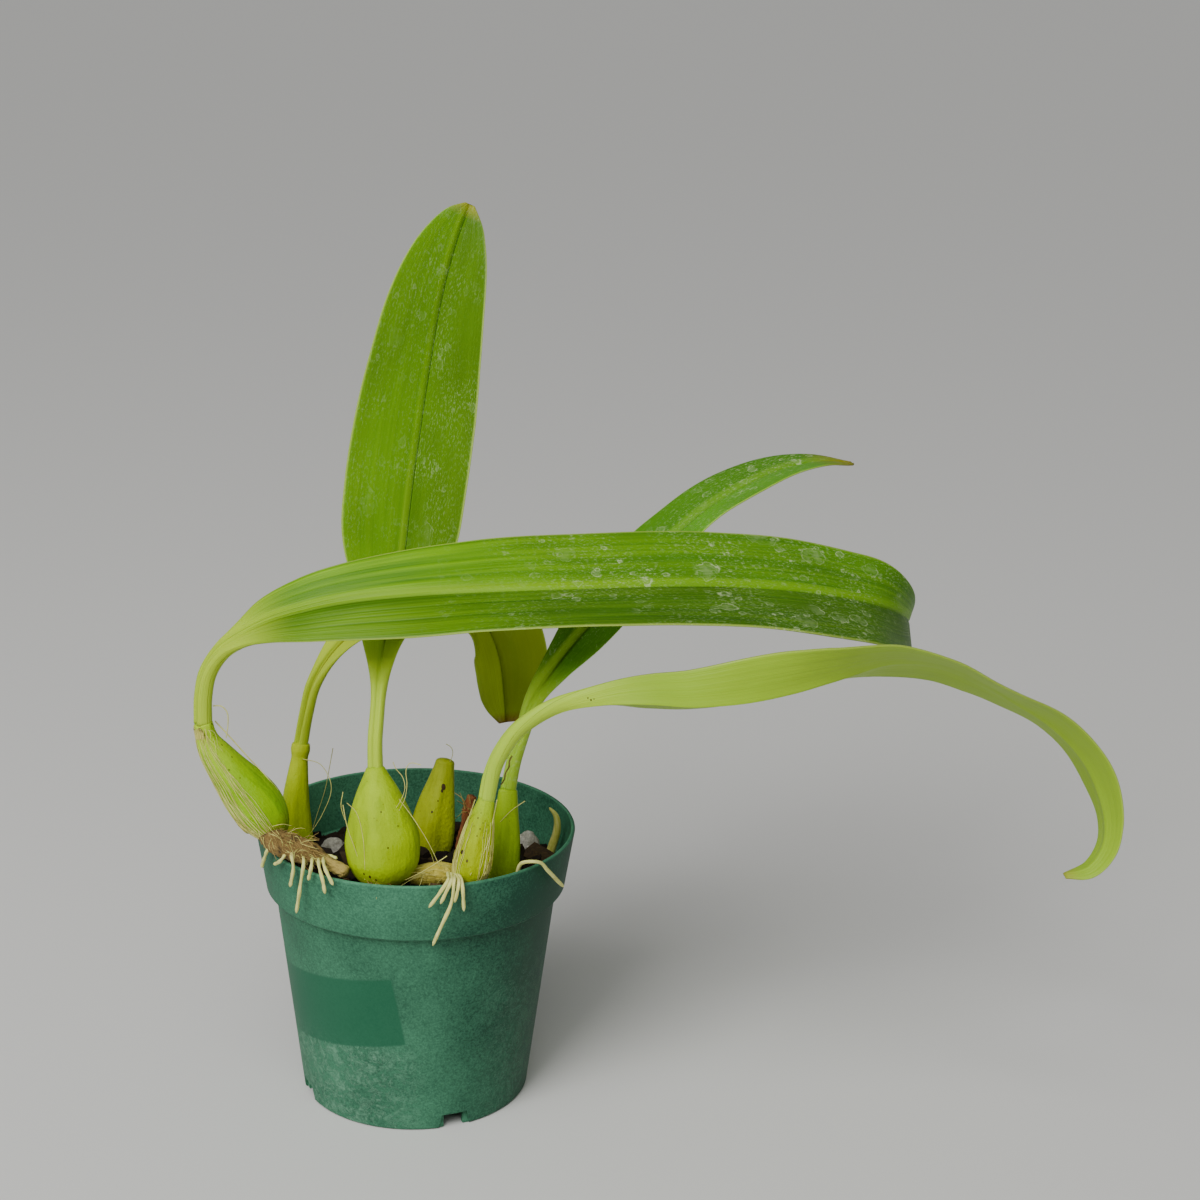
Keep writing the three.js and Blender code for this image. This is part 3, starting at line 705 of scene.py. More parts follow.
        # The painted shadow in the groove: its strength on the stalk and on the blade, and its colour.
        cut = node("MapRange", {"Value": stalk, "To Min": self.groove, "To Max": self.stalk_groove_shadow})
        groove_shadow = node("Math", {0: groove_shadow, 1: cut}, operation="MULTIPLY")
        deep = node("Mix", {"Factor": stalk, "A": "#1f4400", "B": "#4a2c08"}, data_type="RGBA")
        # Painted light: the leaf's margin is thin, and light comes through it, so it is painted as a pale
        # line.
        margin = node("MapRange", {"Value": edge, "From Min": 0.955, "From Max": 0.99, "To Max": 0.6})
        bladed = node("Math", {0: 1.0, 1: stalk}, operation="SUBTRACT")
        margin = node("Math", {0: margin, 1: bladed}, operation="MULTIPLY")
        dying = node("MapRange", {"Value": along, "From Min": self.tip_from, "From Max": 1.0})
        white = self.minerals_left(node, grain, along, upper)
        body = under
        for factor, colour in (
            (upper, blade), (rib, ribbed), (stalk, self.stalk), (groove_shadow, deep), (margin, "#b9d05a"),
            (dying, self.tip), (white, "#c9dba4"),
        ):
            body = node("Mix", {"Factor": factor, "A": body, "B": colour}, data_type="RGBA")
        ridges = node("Math", {0: fine, 1: 0.35, 2: wide}, operation="MULTIPLY_ADD")
        # A waxy skin over wet tissue: soft satin light, and a little glow from within.
        return {
            "Base Color": body,
            "Roughness": node("MapRange", {"Value": white, "To Min": 0.4, "To Max": 0.75}),
            "IOR": 1.33,
            "Specular IOR Level": 0.3,
            "Subsurface Weight": 0.1,
            "Subsurface Scale": 0.001,
            "Subsurface Radius": (0.6, 1.0, 0.05),
            "Normal": node("Bump", {"Height": ridges, "Distance": 0.22 * self.veins * MM}),
        }


@dataclass(frozen=True)
class PseudobulbSkin(Finish):
    """The waxy skin of a living pseudobulb: faintly streaked, clouded and speckled."""

    body: str
    crown: str
    streak: str
    foot: str = "#9a8f2c"
    speck: str = "#6f6a1c"
    wrinkle: float = 0.14

    def sockets(self, node: Adder) -> dict[str, object]:
        """What the shader's sockets take, as Finish says."""
        grain, (_, along, _) = grown_places(node)
        lines = streaks(node, grain, 2.2, 26, 3.0)
        cloud = streaks(node, grain, 9, 13)
        crown = {"Value": along, "From Min": 0.45, "From Max": 1.0}
        crown = node("MapRange", crown, interpolation_type="SMOOTHSTEP")
        dark = node("MapRange", {"Value": lines, "From Min": 0.45, "From Max": 1.1, "To Max": 0.6})
        foot = {"Value": along, "From Min": 0.2, "From Max": 0.0, "To Max": 0.8}
        foot = node("MapRange", foot, interpolation_type="SMOOTHSTEP")
        foot = node("Math", {0: foot, 1: lines}, operation="MULTIPLY")
        pores = node("TexVoronoi", {"Vector": grain, "Scale": 0.55})
        chance = node("SeparateColor", {"Color": pores.outputs["Color"]}).outputs[0]
        rare = node("Math", {0: chance, 1: 0.22}, operation="LESS_THAN")
        dot = {"Value": pores.outputs["Distance"], "From Min": 0.16, "From Max": 0.08, "To Max": 0.55}
        dot = node("Math", {0: node("MapRange", dot), 1: rare}, operation="MULTIPLY")
        shade = node("MapRange", {"Value": cloud, "To Min": 0.86, "To Max": 1.1})
        colour = self.body
        for factor, coat in ((crown, self.crown), (dark, self.streak)):
            colour = node("Mix", {"Factor": factor, "A": colour, "B": coat}, data_type="RGBA")
        colour = node("VectorMath", {0: colour, 3: shade}, operation="SCALE")
        for factor, coat in ((foot, self.foot), (dot, self.speck)):
            colour = node("Mix", {"Factor": factor, "A": colour, "B": coat}, data_type="RGBA")
        pitted = node("TexNoise", {"Vector": grain, "Scale": 0.9, "Detail": 3.0})
        swell = node("Math", {0: lines, 1: cloud}, operation="ADD")
        swell = node("Math", {0: pitted, 1: 1.6, 2: swell}, operation="MULTIPLY_ADD")
        # Wax over watery flesh: a broad soft highlight, and light that sinks in a little.
        return {
            "Base Color": colour,
            "Roughness": 0.5,
            "IOR": 1.33,
            "Specular IOR Level": 0.18,
            "Subsurface Weight": 0.15,
            "Subsurface Scale": 0.0015,
            "Subsurface Radius": (0.9, 1.0, 0.03),
            "Normal": node("Bump", {"Height": swell, "Distance": self.wrinkle * MM}),
        }


@dataclass(frozen=True)
class MouldedPolypropylene(Finish):
    """Moulded polypropylene: thin matte green plastic under a dusty film of dried minerals.

    The patch is given by its edges on the wall unrolled at wall_radius, in millimetres: the
    right and left edges as (arc at the foot of the pot, arc gained per millimetre of height),
    the lower and upper edges as heights at the patch's right edge, with one slope.
    """

    plastic: str = "#174431"
    film: str = "#52906e"
    crust: str = "#86b698"
    clean: str = "#185b3f"
    wall_radius: float = 42.0
    patch_right: tuple[float, float] = (-59.95, -0.1725)
    patch_left: tuple[float, float] = (-122.0, 0.04)
    patch_rise: tuple[float, float] = (31.2, 55.9)
    patch_slope: float = 0.165
    patch_from: float = -67.0
    soft: float = 0.7

    def patch(self, node: Adder, arc: Node, height: Socket, outer: Node) -> Node:
        """The bare patch on the wall.

        Args:
            node: adds a node to the material.
            arc: the place round the wall, in millimetres.
            height: the place up the wall, in millimetres.
            outer: 1 outside the pot and 0 inside.

        Returns:
            1 in the patch and 0 off it.
        """
        right, left = (
            node("Math", {0: height, 1: -gain, 2: arc}, operation="MULTIPLY_ADD")
            for gain in (self.patch_right[1], self.patch_left[1])
        )
        level = node("Math", {0: arc, 1: self.patch_from}, operation="SUBTRACT")
        level = node("Math", {0: level, 1: -self.patch_slope, 2: height}, operation="MULTIPLY_ADD")
        inside = outer
        for value, start, way in (
            (right, self.patch_right[0], -1), (left, self.patch_left[0], 1),
            (level, self.patch_rise[0], 1), (level, self.patch_rise[1], -1),
        ):
            ramp = {"Value": value, "From Min": start, "From Max": start + way * self.soft}
            part = node("MapRange", ramp)
            inside = node("Math", {0: inside, 1: part}, operation="MULTIPLY")
        return inside

    def outer_side(self, node: Adder, spot: Node, height: Socket) -> Node:
        """Tell the outside of the pot's wall from its inside.

        Args:
            node: adds a node to the material.
            spot: the place in millimetres.
            height: its height.

        Returns:
            1 outside and 0 inside.
        """
        cone = {"Value": height, "From Min": 0, "From Max": 69, "To Min": 35.95, "To Max": 44.4}
        band = {"Value": height, "From Min": 69.7, "From Max": 88, "To Min": 47.2, "To Max": 50.0}
        above = node("Math", {0: height, 1: 69.7}, operation="GREATER_THAN")
        shell = {"Factor": above, "A": node("MapRange", cone), "B": node("MapRange", band)}
        flat = node("VectorMath", {0: spot, 1: (1.0, 1.0, 0.0)}, operation="MULTIPLY")
        radius = node("VectorMath", {0: flat}, operation="LENGTH")
        return node("Math", {0: radius, 1: node("Mix", shell, data_type="FLOAT")}, operation="GREATER_THAN")

    def puddles(self, node: Adder, x: Socket, height: Socket, crumple: Node, mottle: Node) -> Node:
        """The broken pale blots and rims that dried puddles left.

        They lie below the patch, and in a column on the right.

        Args:
            node: adds a node to the material.
            x: the place to the right, in millimetres.
            height: the place up the wall, in millimetres.
            crumple: a crumpled pattern.
            mottle: a fine pattern that breaks them up.

        Returns:
            How thick the crust is, from 0 to 1.
        """
        left = node("MapRange", {"Value": x, "From Min": 8, "From Max": -8})
        under = {"Value": height, "From Min": 34, "From Max": 24}
        under = node("MapRange", under, interpolation_type="SMOOTHSTEP")
        column = node("MapRange", {"Value": x, "From Min": 20, "From Max": 30, "To Max": 0.28})
        beside = node("MapRange", {"Value": height, "From Min": 60, "From Max": 46})
        under, beside = (
            node("Math", {0: high, 1: wide}, operation="MULTIPLY")
            for high, wide in ((under, left), (beside, column))
        )
        puddled = node("Math", {0: under, 1: beside}, operation="MAXIMUM")
        folds = node("Math", {0: crumple, 1: 0.52}, operation="SUBTRACT")
        folds = node("Math", {0: folds}, operation="ABSOLUTE")
        folds = node("MapRange", {"Value": folds, "From Min": 0.022, "From Max": 0.0, "To Max": 0.66})
        blots = node("MapRange", {"Value": crumple, "From Min": 0.53, "From Max": 0.62, "To Max": 0.34})
        broken = node("MapRange", {"Value": mottle, "From Min": 0.4, "From Max": 0.56, "To Min": 0.5})
        for step, other in (("MAXIMUM", blots), ("MULTIPLY", puddled), ("MULTIPLY", broken)):
            folds = node("Math", {0: folds, 1: other}, operation=step)
        return folds

    def sockets(self, node: Adder) -> dict[str, object]:
        """What the shader's sockets take, as Finish says."""
        spot = spot_in_millimetres(node)
        x, y, height = node("SeparateXYZ", {"Vector": spot}).outputs
        turn = node("Math", {0: y, 1: x}, operation="ARCTAN2")
        arc = node("Math", {0: turn, 1: self.wall_radius}, operation="MULTIPLY")
        dust, mottle, cloud, crumple = (
            node("TexNoise", dict(zip(("Vector", "Scale", "Detail", "Roughness", "Distortion"), row)))
            for row in (
                (spot, 1.5, 3.0, 0.75, 0.0), (spot, 0.75, 4.0, 0.7, 0.0), (spot, 0.05, 3.0, 0.55, 0.0),
                (spot, 0.36, 5.0, 0.62, 0.8),
            )
        )
        # The film is a little thicker low down, where the pot stood in hard water, and thins towards the
        # right as painted shade on the pot's right side.
        outer = self.outer_side(node, spot, height)
        film, turned, *grimed = (
            node("MapRange", dict(zip(("Value", "From Min", "From Max", "To Min", "To Max"), row)))
            for row in (
                (height, 60, 12, 0.44, 0.5), (x, 8, 40, 0, -0.5), (cloud, 0.3, 0.7, -0.14, 0.14),
                (mottle, 0.32, 0.68, -0.12, 0.12), (dust, 0.35, 0.7, -0.13, 0.2),
            )
        )
        # Painted shade: the thinning to the right acts mostly outside the pot.
        painted_shade_outside = node("MapRange", {"Value": outer, "To Min": 0.15})
        turned = node("Math", {0: turned, 1: painted_shade_outside}, operation="MULTIPLY")
        for part in (turned, *grimed):
            film = node("Math", {0: film, 1: part}, operation="ADD", use_clamp=part is grimed[-1])
        # A label once kept one patch clean. It is bare now, a little darker and smoother.
        patch = self.patch(node, arc, height, outer)
        bare = node("MapRange", {"Value": patch, "To Min": 1.0, "To Max": 0.2})
        # Painted light: inside the pot the film is raised by a quarter, so the inner wall shows lighter.
        kept = node("MapRange", {"Value": outer, "To Min": 1.25})
        # Painted highlight: the top edge of the rim is painted paler.
        painted_rim_highlight = node("MapRange", {"Value": height, "From Min": 88.5, "From Max": 89.0, "To Max": 0.4})
        folds = self.puddles(node, x, height, crumple, mottle)
        for factor in (bare, kept):
            film = node("Math", {0: film, 1: factor}, operation="MULTIPLY")
        for factor in (bare, outer):
            folds = node("Math", {0: folds, 1: factor}, operation="MULTIPLY")
        film = node("Math", {0: film, 1: painted_rim_highlight}, operation="ADD", use_clamp=True)
        body = self.plastic
        for factor, colour in ((patch, self.clean), (film, self.film), (folds, self.crust)):
            body = node("Mix", {"Factor": factor, "A": body, "B": colour}, data_type="RGBA")
        raised = node("Math", {0: folds, 1: 3.0, 2: dust}, operation="MULTIPLY_ADD")
        # Matte plastic that has weathered: no clear highlight, and a chalky bloom on it.
        return {
            "Base Color": body,
            "Roughness": node("MapRange", {"Value": film, "To Min": 0.48, "To Max": 0.8}),
            "IOR": 1.45,
            "Specular IOR Level": 0.22,
            "Normal": node("Bump", {"Height": raised, "Distance": 0.05 * MM}),
        }


@dataclass(frozen=True)
class PineBark(Finish):
    """Damp pine bark, chipped: dark, matte and flaky, with some chips redder or greyer."""

    dark: str = "#0f0a06"
    brown: str = "#33220f"
    tan: str = "#6e5a38"

    def sockets(self, node: Adder) -> dict[str, object]:
        """What the shader's sockets take, as Finish says."""
        tone = node("Attribute", attribute_name="tone").outputs["Fac"]
        spot = spot_in_millimetres(node)
        flakes = node("TexNoise", {"Vector": spot, "Scale": 0.8, "Detail": 6.0, "Roughness": 0.7})
        pale = node("MapRange", {"Value": tone, "From Min": 0.72, "From Max": 1.0, "To Max": 0.8})
        body = self.dark
        for factor, colour in ((tone, self.brown), (pale, self.tan)):
            body = node("Mix", {"Factor": factor, "A": body, "B": colour}, data_type="RGBA")
        shade = {"Value": flakes, "From Min": 0.3, "From Max": 0.7, "To Min": 0.55, "To Max": 1.35}
        body = node("VectorMath", {0: body, 3: node("MapRange", shade)}, operation="SCALE")
        # Damp cork and wood fibre: no shine, and colour that changes from chip to chip.
        bump = node("Bump", {"Height": flakes, "Distance": 0.5 * MM})
        return {"Base Color": body, "Roughness": 0.9, "IOR": 1.4, "Normal": bump}


@dataclass(frozen=True)
class PorousStone(Finish):
    """Pumice: a pale glassy foam, chalky to the eye and full of pits."""

    pale: str = "#dcd7ca"
    pit: str = "#78745f"

    def sockets(self, node: Adder) -> dict[str, object]:
        """What the shader's sockets take, as Finish says."""
        spot = spot_in_millimetres(node)
        rough = node("TexNoise", {"Vector": spot, "Scale": 0.9, "Detail": 6.0, "Roughness": 0.75})
        grime = node("TexNoise", {"Vector": spot, "Scale": 0.3, "Detail": 4.0})
        depth = node("MapRange", {"Value": rough, "From Min": 0.35, "From Max": 0.6})
        stained = node("MapRange", {"Value": grime, "From Min": 0.45, "From Max": 0.7, "To Max": 0.35})
        clear = node("Math", {0: 1.0, 1: depth}, operation="SUBTRACT")
        dirty = node("Math", {0: clear, 1: 0.6, 2: stained}, operation="MULTIPLY_ADD", use_clamp=True)
        body = node("Mix", {"Factor": dirty, "A": self.pale, "B": self.pit}, data_type="RGBA")
        # Foamed stone: fully matte, with pits of about a millimetre that hold dark dust.
        bump = node("Bump", {"Height": depth, "Distance": 0.5 * MM})
        return {"Base Color": body, "Roughness": 0.95, "IOR": 1.5, "Normal": bump}


@dataclass(frozen=True)
class FibrousSkin(Finish):
    """A dry or corky plant skin, streaked lengthwise: rhizomes, roots, sheaths and dry stems."""

    base: str
    streak: str
    stain: str
    width: float = 0.5
    length: float = 6.0
    stained: float = 0.5
    roughness: float = 0.8
    depth: float = 0.2
    end: str = ""
    end_from: float = 0.7

    def sockets(self, node: Adder) -> dict[str, object]:
        """What the shader's sockets take, as Finish says."""
        grain, (_, along, _) = grown_places(node)
        lines = streaks(node, grain, self.width, self.length, 4.0)
        blotch = streaks(node, grain, 3.0, 4.0, 4.0)
        stain = node("MapRange", {"Value": blotch, "From Min": 0.5, "From Max": 0.95, "To Max": self.stained})
        coats = [(lines, self.streak), (stain, self.stain)]
        if self.end:
            far = {"Value": along, "From Min": self.end_from, "From Max": self.end_from + 0.05}
            coats.insert(1, (node("MapRange", far), self.end))
        body = self.base
        for factor, colour in coats:
            body = node("Mix", {"Factor": factor, "A": body, "B": colour}, data_type="RGBA")
        # Dry cell walls scatter light evenly, so only the fibres' own streaks show.
        bump = node("Bump", {"Height": lines, "Distance": self.depth * MM})
        return {"Base Color": body, "Roughness": self.roughness, "IOR": 1.4, "Normal": bump}


@dataclass(frozen=True)
class DryFibre(Finish):
    """Dry sheath fibre: straw-coloured, pale and a little shiny, too fine for any pattern."""

    pale: str = "#dedc80"
    brown: str = "#a8963e"
    browned: float = 0.4

    def sockets(self, node: Adder) -> dict[str, object]:
        """What the shader's sockets take, as Finish says."""
        spot = node("TexCoord").outputs["Object"]
        slow = node("TexNoise", {"Vector": spot, "Scale": 220.0, "Detail": 2.0})
        brown = node("MapRange", {"Value": slow, "From Min": 0.4, "From Max": 0.62, "To Max": self.browned})
        body = node("Mix", {"Factor": brown, "A": self.pale, "B": self.brown}, data_type="RGBA")
        # Each straw is one tone, and a slow noise in place makes some of them browner.
        return {"Base Color": body, "Roughness": 0.6, "IOR": 1.45}


@dataclass(frozen=True)
class PaintedBoard(Finish):
    """Matte painted board: the pale floor of the studio."""

    paint: str = "#d9d8d4"

    def sockets(self, node: Adder) -> dict[str, object]:
        """What the shader's sockets take, as Finish says."""
        # Flat paint takes a soft shadow and gives no reflection.
        return {"Base Color": self.paint, "Roughness": 0.9}


class Grown:
    """What every grown body has: sections along it, over which its skin is drawn."""

    def section_at(self, rings: int) -> Callable[[float], Section]:
        """Prepare the sections for a body of this many rings.

        Args:
            rings: stretches along the body.

        Returns:
            What skin asks for: the section at a fraction.
        """
        raise NotImplementedError

    def build(self, name: str, sides: int, rings: int) -> Piece:
        """Model the body.

        Args:
            name: the piece's name.
            sides: corners round the section.
            rings: stretches along the body.

        Returns:
            The new piece, in metres.
        """
        return skin(name, self.section_at(rings), sides, rings)


@dataclass(frozen=True)
class Stem(Grown):
    """A round body along a path, with its radius keyed along it."""

    path: tuple[Point, ...]
    radii: Keys
    ribs: int = 0
    rib_depth: float = 0.0
    rounding: float = 0.6
    roughen: float = 0.0

    def section_at(self, rings: int) -> Callable[[float], Section]:
        """Prepare the sections, as the base class says."""
        route = Route(self.path)
        rows = route.frames(rings)

        def at(fraction: float) -> Section:
            """The section at this fraction."""
            centre, _, front, right = rows[round(fraction * rings)]
            far = min(fraction, 1 - fraction) * route.length
            closing = 1 - min(far / self.rounding, 1.0)
            radius = keyed(self.radii, fraction)[0] * max(math.sqrt(1 - closing**2), 0.2)
            envelope = math.sin(math.pi * min(fraction * 1.15, 1.0)) if self.ribs else 0.0
            along = fraction * route.length

            def corner(turn: float) -> Spot:
                """The corner at this turn, which is 0 in front and grows to the right."""
                wave = math.cos(self.ribs * turn + 0.7 * math.sin(3.1 * fraction)) * envelope
                rough = math.sin(5 * turn + 1.9 * along) * math.sin(1.3 * along + 2 * turn)
                reach = radius * (1 + self.rib_depth * wave) + self.roughen * rough
                out = front * math.cos(turn) + right * math.sin(turn)
                grain = Vector((radius * math.cos(turn), radius * math.sin(turn), along))
                return centre + out * reach, grain, Vector((turn, fraction, 0.0))

            return corner

        return at

    def on_skin(self, turn: float, fraction: float, clear: float = 0.0) -> Vector:
        """A point on the body, or just off it.

        Args:
            turn: the way round from the front, in degrees.
            fraction: the fraction of its length.
            clear: how far off the skin, in millimetres.

        Returns:
            The point, in millimetres.
        """
        rows = carried_frames(self.path, FRAME_STEPS)
        centre, _, front, right = rows[round(fraction * FRAME_STEPS)]
        angle = math.radians(turn)
        reach = keyed(self.radii, fraction)[0] + clear
        return centre + (front * math.cos(angle) + right * math.sin(angle)) * reach


@dataclass(frozen=True)
class Leaf(Grown):
    """One strap leaf with its stalk, keyed by the fraction of its length.

    spine runs along the groove of the midrib from the foot, facing is the way that the upper
    side looks, width is half the leaf's width, fold is the angle in degrees by which each half
    rises from flat, and thick is the thickness of the stalk or the midrib.
    """

    spine: tuple[Point, ...]
    facing: Keys
    width: Keys
    fold: Keys
    thick: Keys
    groove: float = 0.12
    edge: float = 0.8
    rim: float = 1.3

    def section_at(self, rings: int) -> Callable[[float], Section]:
        """Prepare the sections, as the base class says."""
        route = Route(self.spine)

        def at(fraction: float) -> Section:
            """The section at this fraction."""
            middle = route.at(fraction)
            along = route.tangent(fraction)
            face = Vector(keyed(self.facing, fraction))
            face = (face - along * face.dot(along)).normalized()
            side = face.cross(along)
            half = keyed(self.width, fraction)[0]
            angle = math.radians(keyed(self.fold, fraction)[0])
            rib = keyed(self.thick, fraction)[0]
            roundness = min(max(rib / (1.6 * half), 0.0), 1.0)
            far = fraction * route.length

            def corner(turn: float) -> Spot:
                """The corner at this turn: the upper side from 0 to pi, the lower one back."""
                quarter = abs(turn) / (math.pi / 2)
                near = min(quarter, 2 - quarter)
                u = max(1 - near**2 * (3 - 2 * near), 0.0)
                sign = 1.0 if quarter < 1 else -1.0
                upper = 1.0 if turn > 0 else 0.0
                from_edge = min((1 - u) * half / self.rim, 1.0)
                closing = self.edge * (1 - math.sqrt(1 - (1 - from_edge) ** 2)) / 2
                bulge = max(1 - u ** (1 + 1.6 * roundness), 0.0) ** (1 - 0.45 * roundness)
                deep = self.edge + (rib - self.edge) * bulge
                middle_line = math.exp(-((u * half / (0.55 + 0.25 * roundness)) ** 2))
                keel = math.exp(-((u * half / 1.6) ** 2))
                height = u * half * math.sin(angle) + roundness * rib * 0.5 * bulge
                if upper:
                    cut = roundness * rib * self.groove + (1 - roundness) * 0.5
                    height -= cut * middle_line + closing
                else:
                    height -= deep + (1 - roundness) * 0.5 * keel - closing
                across = sign * u * half
                spot = middle + side * (across * math.cos(angle)) + face * height
                return spot, Vector((across, 8 * upper, far)), Vector((u, fraction, upper))

            return corner

        return at


@dataclass(frozen=True)
class NurseryPot:
    """The round pot: a tapered wall with a wider rim band, and a foot ring with notches."""

    rim_radius: float = 50.8
    height: float = 89.2
    base_radius: float = 36.6
    wall: float = 1.3
    band_bottom: float = 70.1
    band_radius: float = 47.9
    neck_radius: float = 45.1
    neck_drop: float = 0.9
    floor_raise: float = 5.0
    pad_radius: float = 23.0
    pad_slope: float = 2.0
    foot: float = 2.4
    notches: int = 4
    first_notch: float = -1.147
    notch_width: float = 6.4
    notch_height: float = 4.2
    arch_width: float = 12.4
    arch_top: float = 8.4
    arch_height: float = 4.8
    arch_depth: float = 1.1
    drain_holes: int = 6
    drain_radius: float = 2.6
    drain_ring: float = 29.5
    steps: int = 160

    def profile(self) -> list[tuple[float, float]]:
        """The half section of the pot, as (radius, height), from the middle underneath."""
        draft = (self.neck_radius - self.base_radius) / (self.band_bottom - self.neck_drop)
        raised = self.floor_raise * draft
        inner_band = self.band_bottom + self.wall
        return [
            (0.0, 0.0),
            (self.pad_radius, 0.0),
            (self.pad_radius + self.pad_slope, self.floor_raise),
            (self.base_radius - self.foot + raised, self.floor_raise),
            (self.base_radius - self.foot, 0.0),
            (self.base_radius - 0.4, 0.0),
            (self.base_radius, 0.4),
            (self.neck_radius - 0.03, self.band_bottom - self.neck_drop - 0.4),
            (self.neck_radius + 0.35, self.band_bottom - self.neck_drop + 0.05),
            (self.band_radius - 0.5, self.band_bottom - 0.05),
            (self.band_radius, self.band_bottom + 0.45),
            (self.rim_radius - 0.02, self.height - 0.6),
            (self.rim_radius - 0.2, self.height - 0.16),
            (self.rim_radius - 0.6, self.height),
            (self.rim_radius - self.wall + 0.4, self.height),
            (self.rim_radius - self.wall + 0.06, self.height - 0.3),
            (self.band_radius - self.wall, inner_band + 0.4),
            (self.band_radius - self.wall - 0.5, inner_band),
            (self.neck_radius - self.wall, inner_band - self.neck_drop),
            (self.base_radius - self.wall + raised, self.floor_raise + self.wall),
            (self.pad_radius + self.pad_slope - self.wall, self.floor_raise + self.wall),
            (self.pad_radius - self.wall, self.wall),
            (0.0, self.wall),
        ]

    def inside(self, level: float) -> float:
        """The radius half way into the wall at a height, in millimetres."""
        step = self.band_bottom + self.wall
        if level < step:
            share = level / (self.band_bottom - self.neck_drop)
            return self.base_radius + (self.neck_radius - self.base_radius) * share - self.wall / 2
        share = (level - step) / (self.height - step)
        return self.band_radius + (self.rim_radius - self.band_radius) * share - self.wall / 2

    def spin_wall(self) -> Piece:
        """Spin the half section round the pot's axis.

        Returns:
            The closed pot, with no notches or holes yet.
        """
        mesh = bpy.data.meshes.new("pot_wall")
        points = [(radius * MM, 0.0, height * MM) for radius, height in self.profile()]
        mesh.from_pydata(points, [(i, i + 1) for i in range(len(points) - 1)], [])
        piece = added("pot_wall", mesh)
        choose(piece)
        bpy.ops.object.mode_set(mode="EDIT")
        bpy.ops.mesh.select_all(action="SELECT")
        bpy.ops.mesh.spin(steps=self.steps, angle=FULL_TURN, center=(0, 0, 0), axis=(0, 0, 1))
        bpy.ops.mesh.select_all(action="SELECT")
        bpy.ops.mesh.remove_doubles(threshold=0.01 * MM)
        bpy.ops.mesh.normals_make_consistent(inside=False)
        bpy.ops.object.mode_set(mode="OBJECT")
        return piece

    def block(self, angle: float, reach: float, size: Point, top: float = 1.0) -> Piece:
        """Model one block that cuts into the foot ring.

        Args:
            angle: where it stands round the pot.
            reach: how far out its middle is, in millimetres.
            size: its size outwards, round the pot and upwards, in millimetres.
            top: the share of its width that is left at its top.

        Returns:
            The block.
        """
        choose()
        place = Vector((math.cos(angle), math.sin(angle), 0)) * reach * MM
        bpy.ops.mesh.primitive_cube_add(
            size=1, location=place, rotation=(0, 0, angle), scale=Vector(size) * MM
        )
        cutter = bpy.context.object
        for corner in cutter.data.vertices:
            if corner.co.z > 0:
                corner.co.y *= top
        freeze()
        return cutter

    def cutters(self) -> Piece:
        """Model what is cut from the pot: windows, the arches round them and drain holes.

        Returns:
            All the cutters, joined.
        """
        window = (4 * self.foot, self.notch_width, 2 * self.notch_height)
        arch = (2 * self.foot + self.arch_depth, self.arch_width, 2 * self.arch_height)
        arch_reach = self.base_radius + (2 * self.foot - self.arch_depth) / 2
        made = []
        for i in range(self.notches):
            angle = self.first_notch + i / self.notches * FULL_TURN
            made.append(self.block(angle, self.base_radius, window))
            made.append(self.block(angle, arch_reach, arch, self.arch_top / self.arch_width))
        for i in range(self.drain_holes):
            angle = (i + 0.5) / self.drain_holes * FULL_TURN
            place = Vector((math.cos(angle), math.sin(angle), 0)) * self.drain_ring * MM
            place.z = (self.floor_raise + self.wall / 2) * MM
            choose()
            bpy.ops.mesh.primitive_cylinder_add(
                vertices=32, radius=self.drain_radius * MM, depth=4 * self.wall * MM, location=place
            )
            made.append(bpy.context.object)
        return joined(made, "pot_cutters")

    def build(self) -> None:
        """Model the pot and settle it."""
        pot = self.spin_wall()
        cutters = self.cutters()
        cut = pot.modifiers.new("cut", "BOOLEAN")
        cut.operation = "DIFFERENCE"
        cut.solver = "EXACT"
        cut.use_self = True
        cut.object = cutters
        apply_modifiers(pot)
        bpy.data.objects.remove(cutters)
        choose(pot)
        bpy.ops.object.shade_smooth_by_angle(angle=math.radians(32))
        plastic = MouldedPolypropylene("moulded_polypropylene").build()
        settle(named(pot, "nursery_pot"), Slot.POT, plastic, "pot")


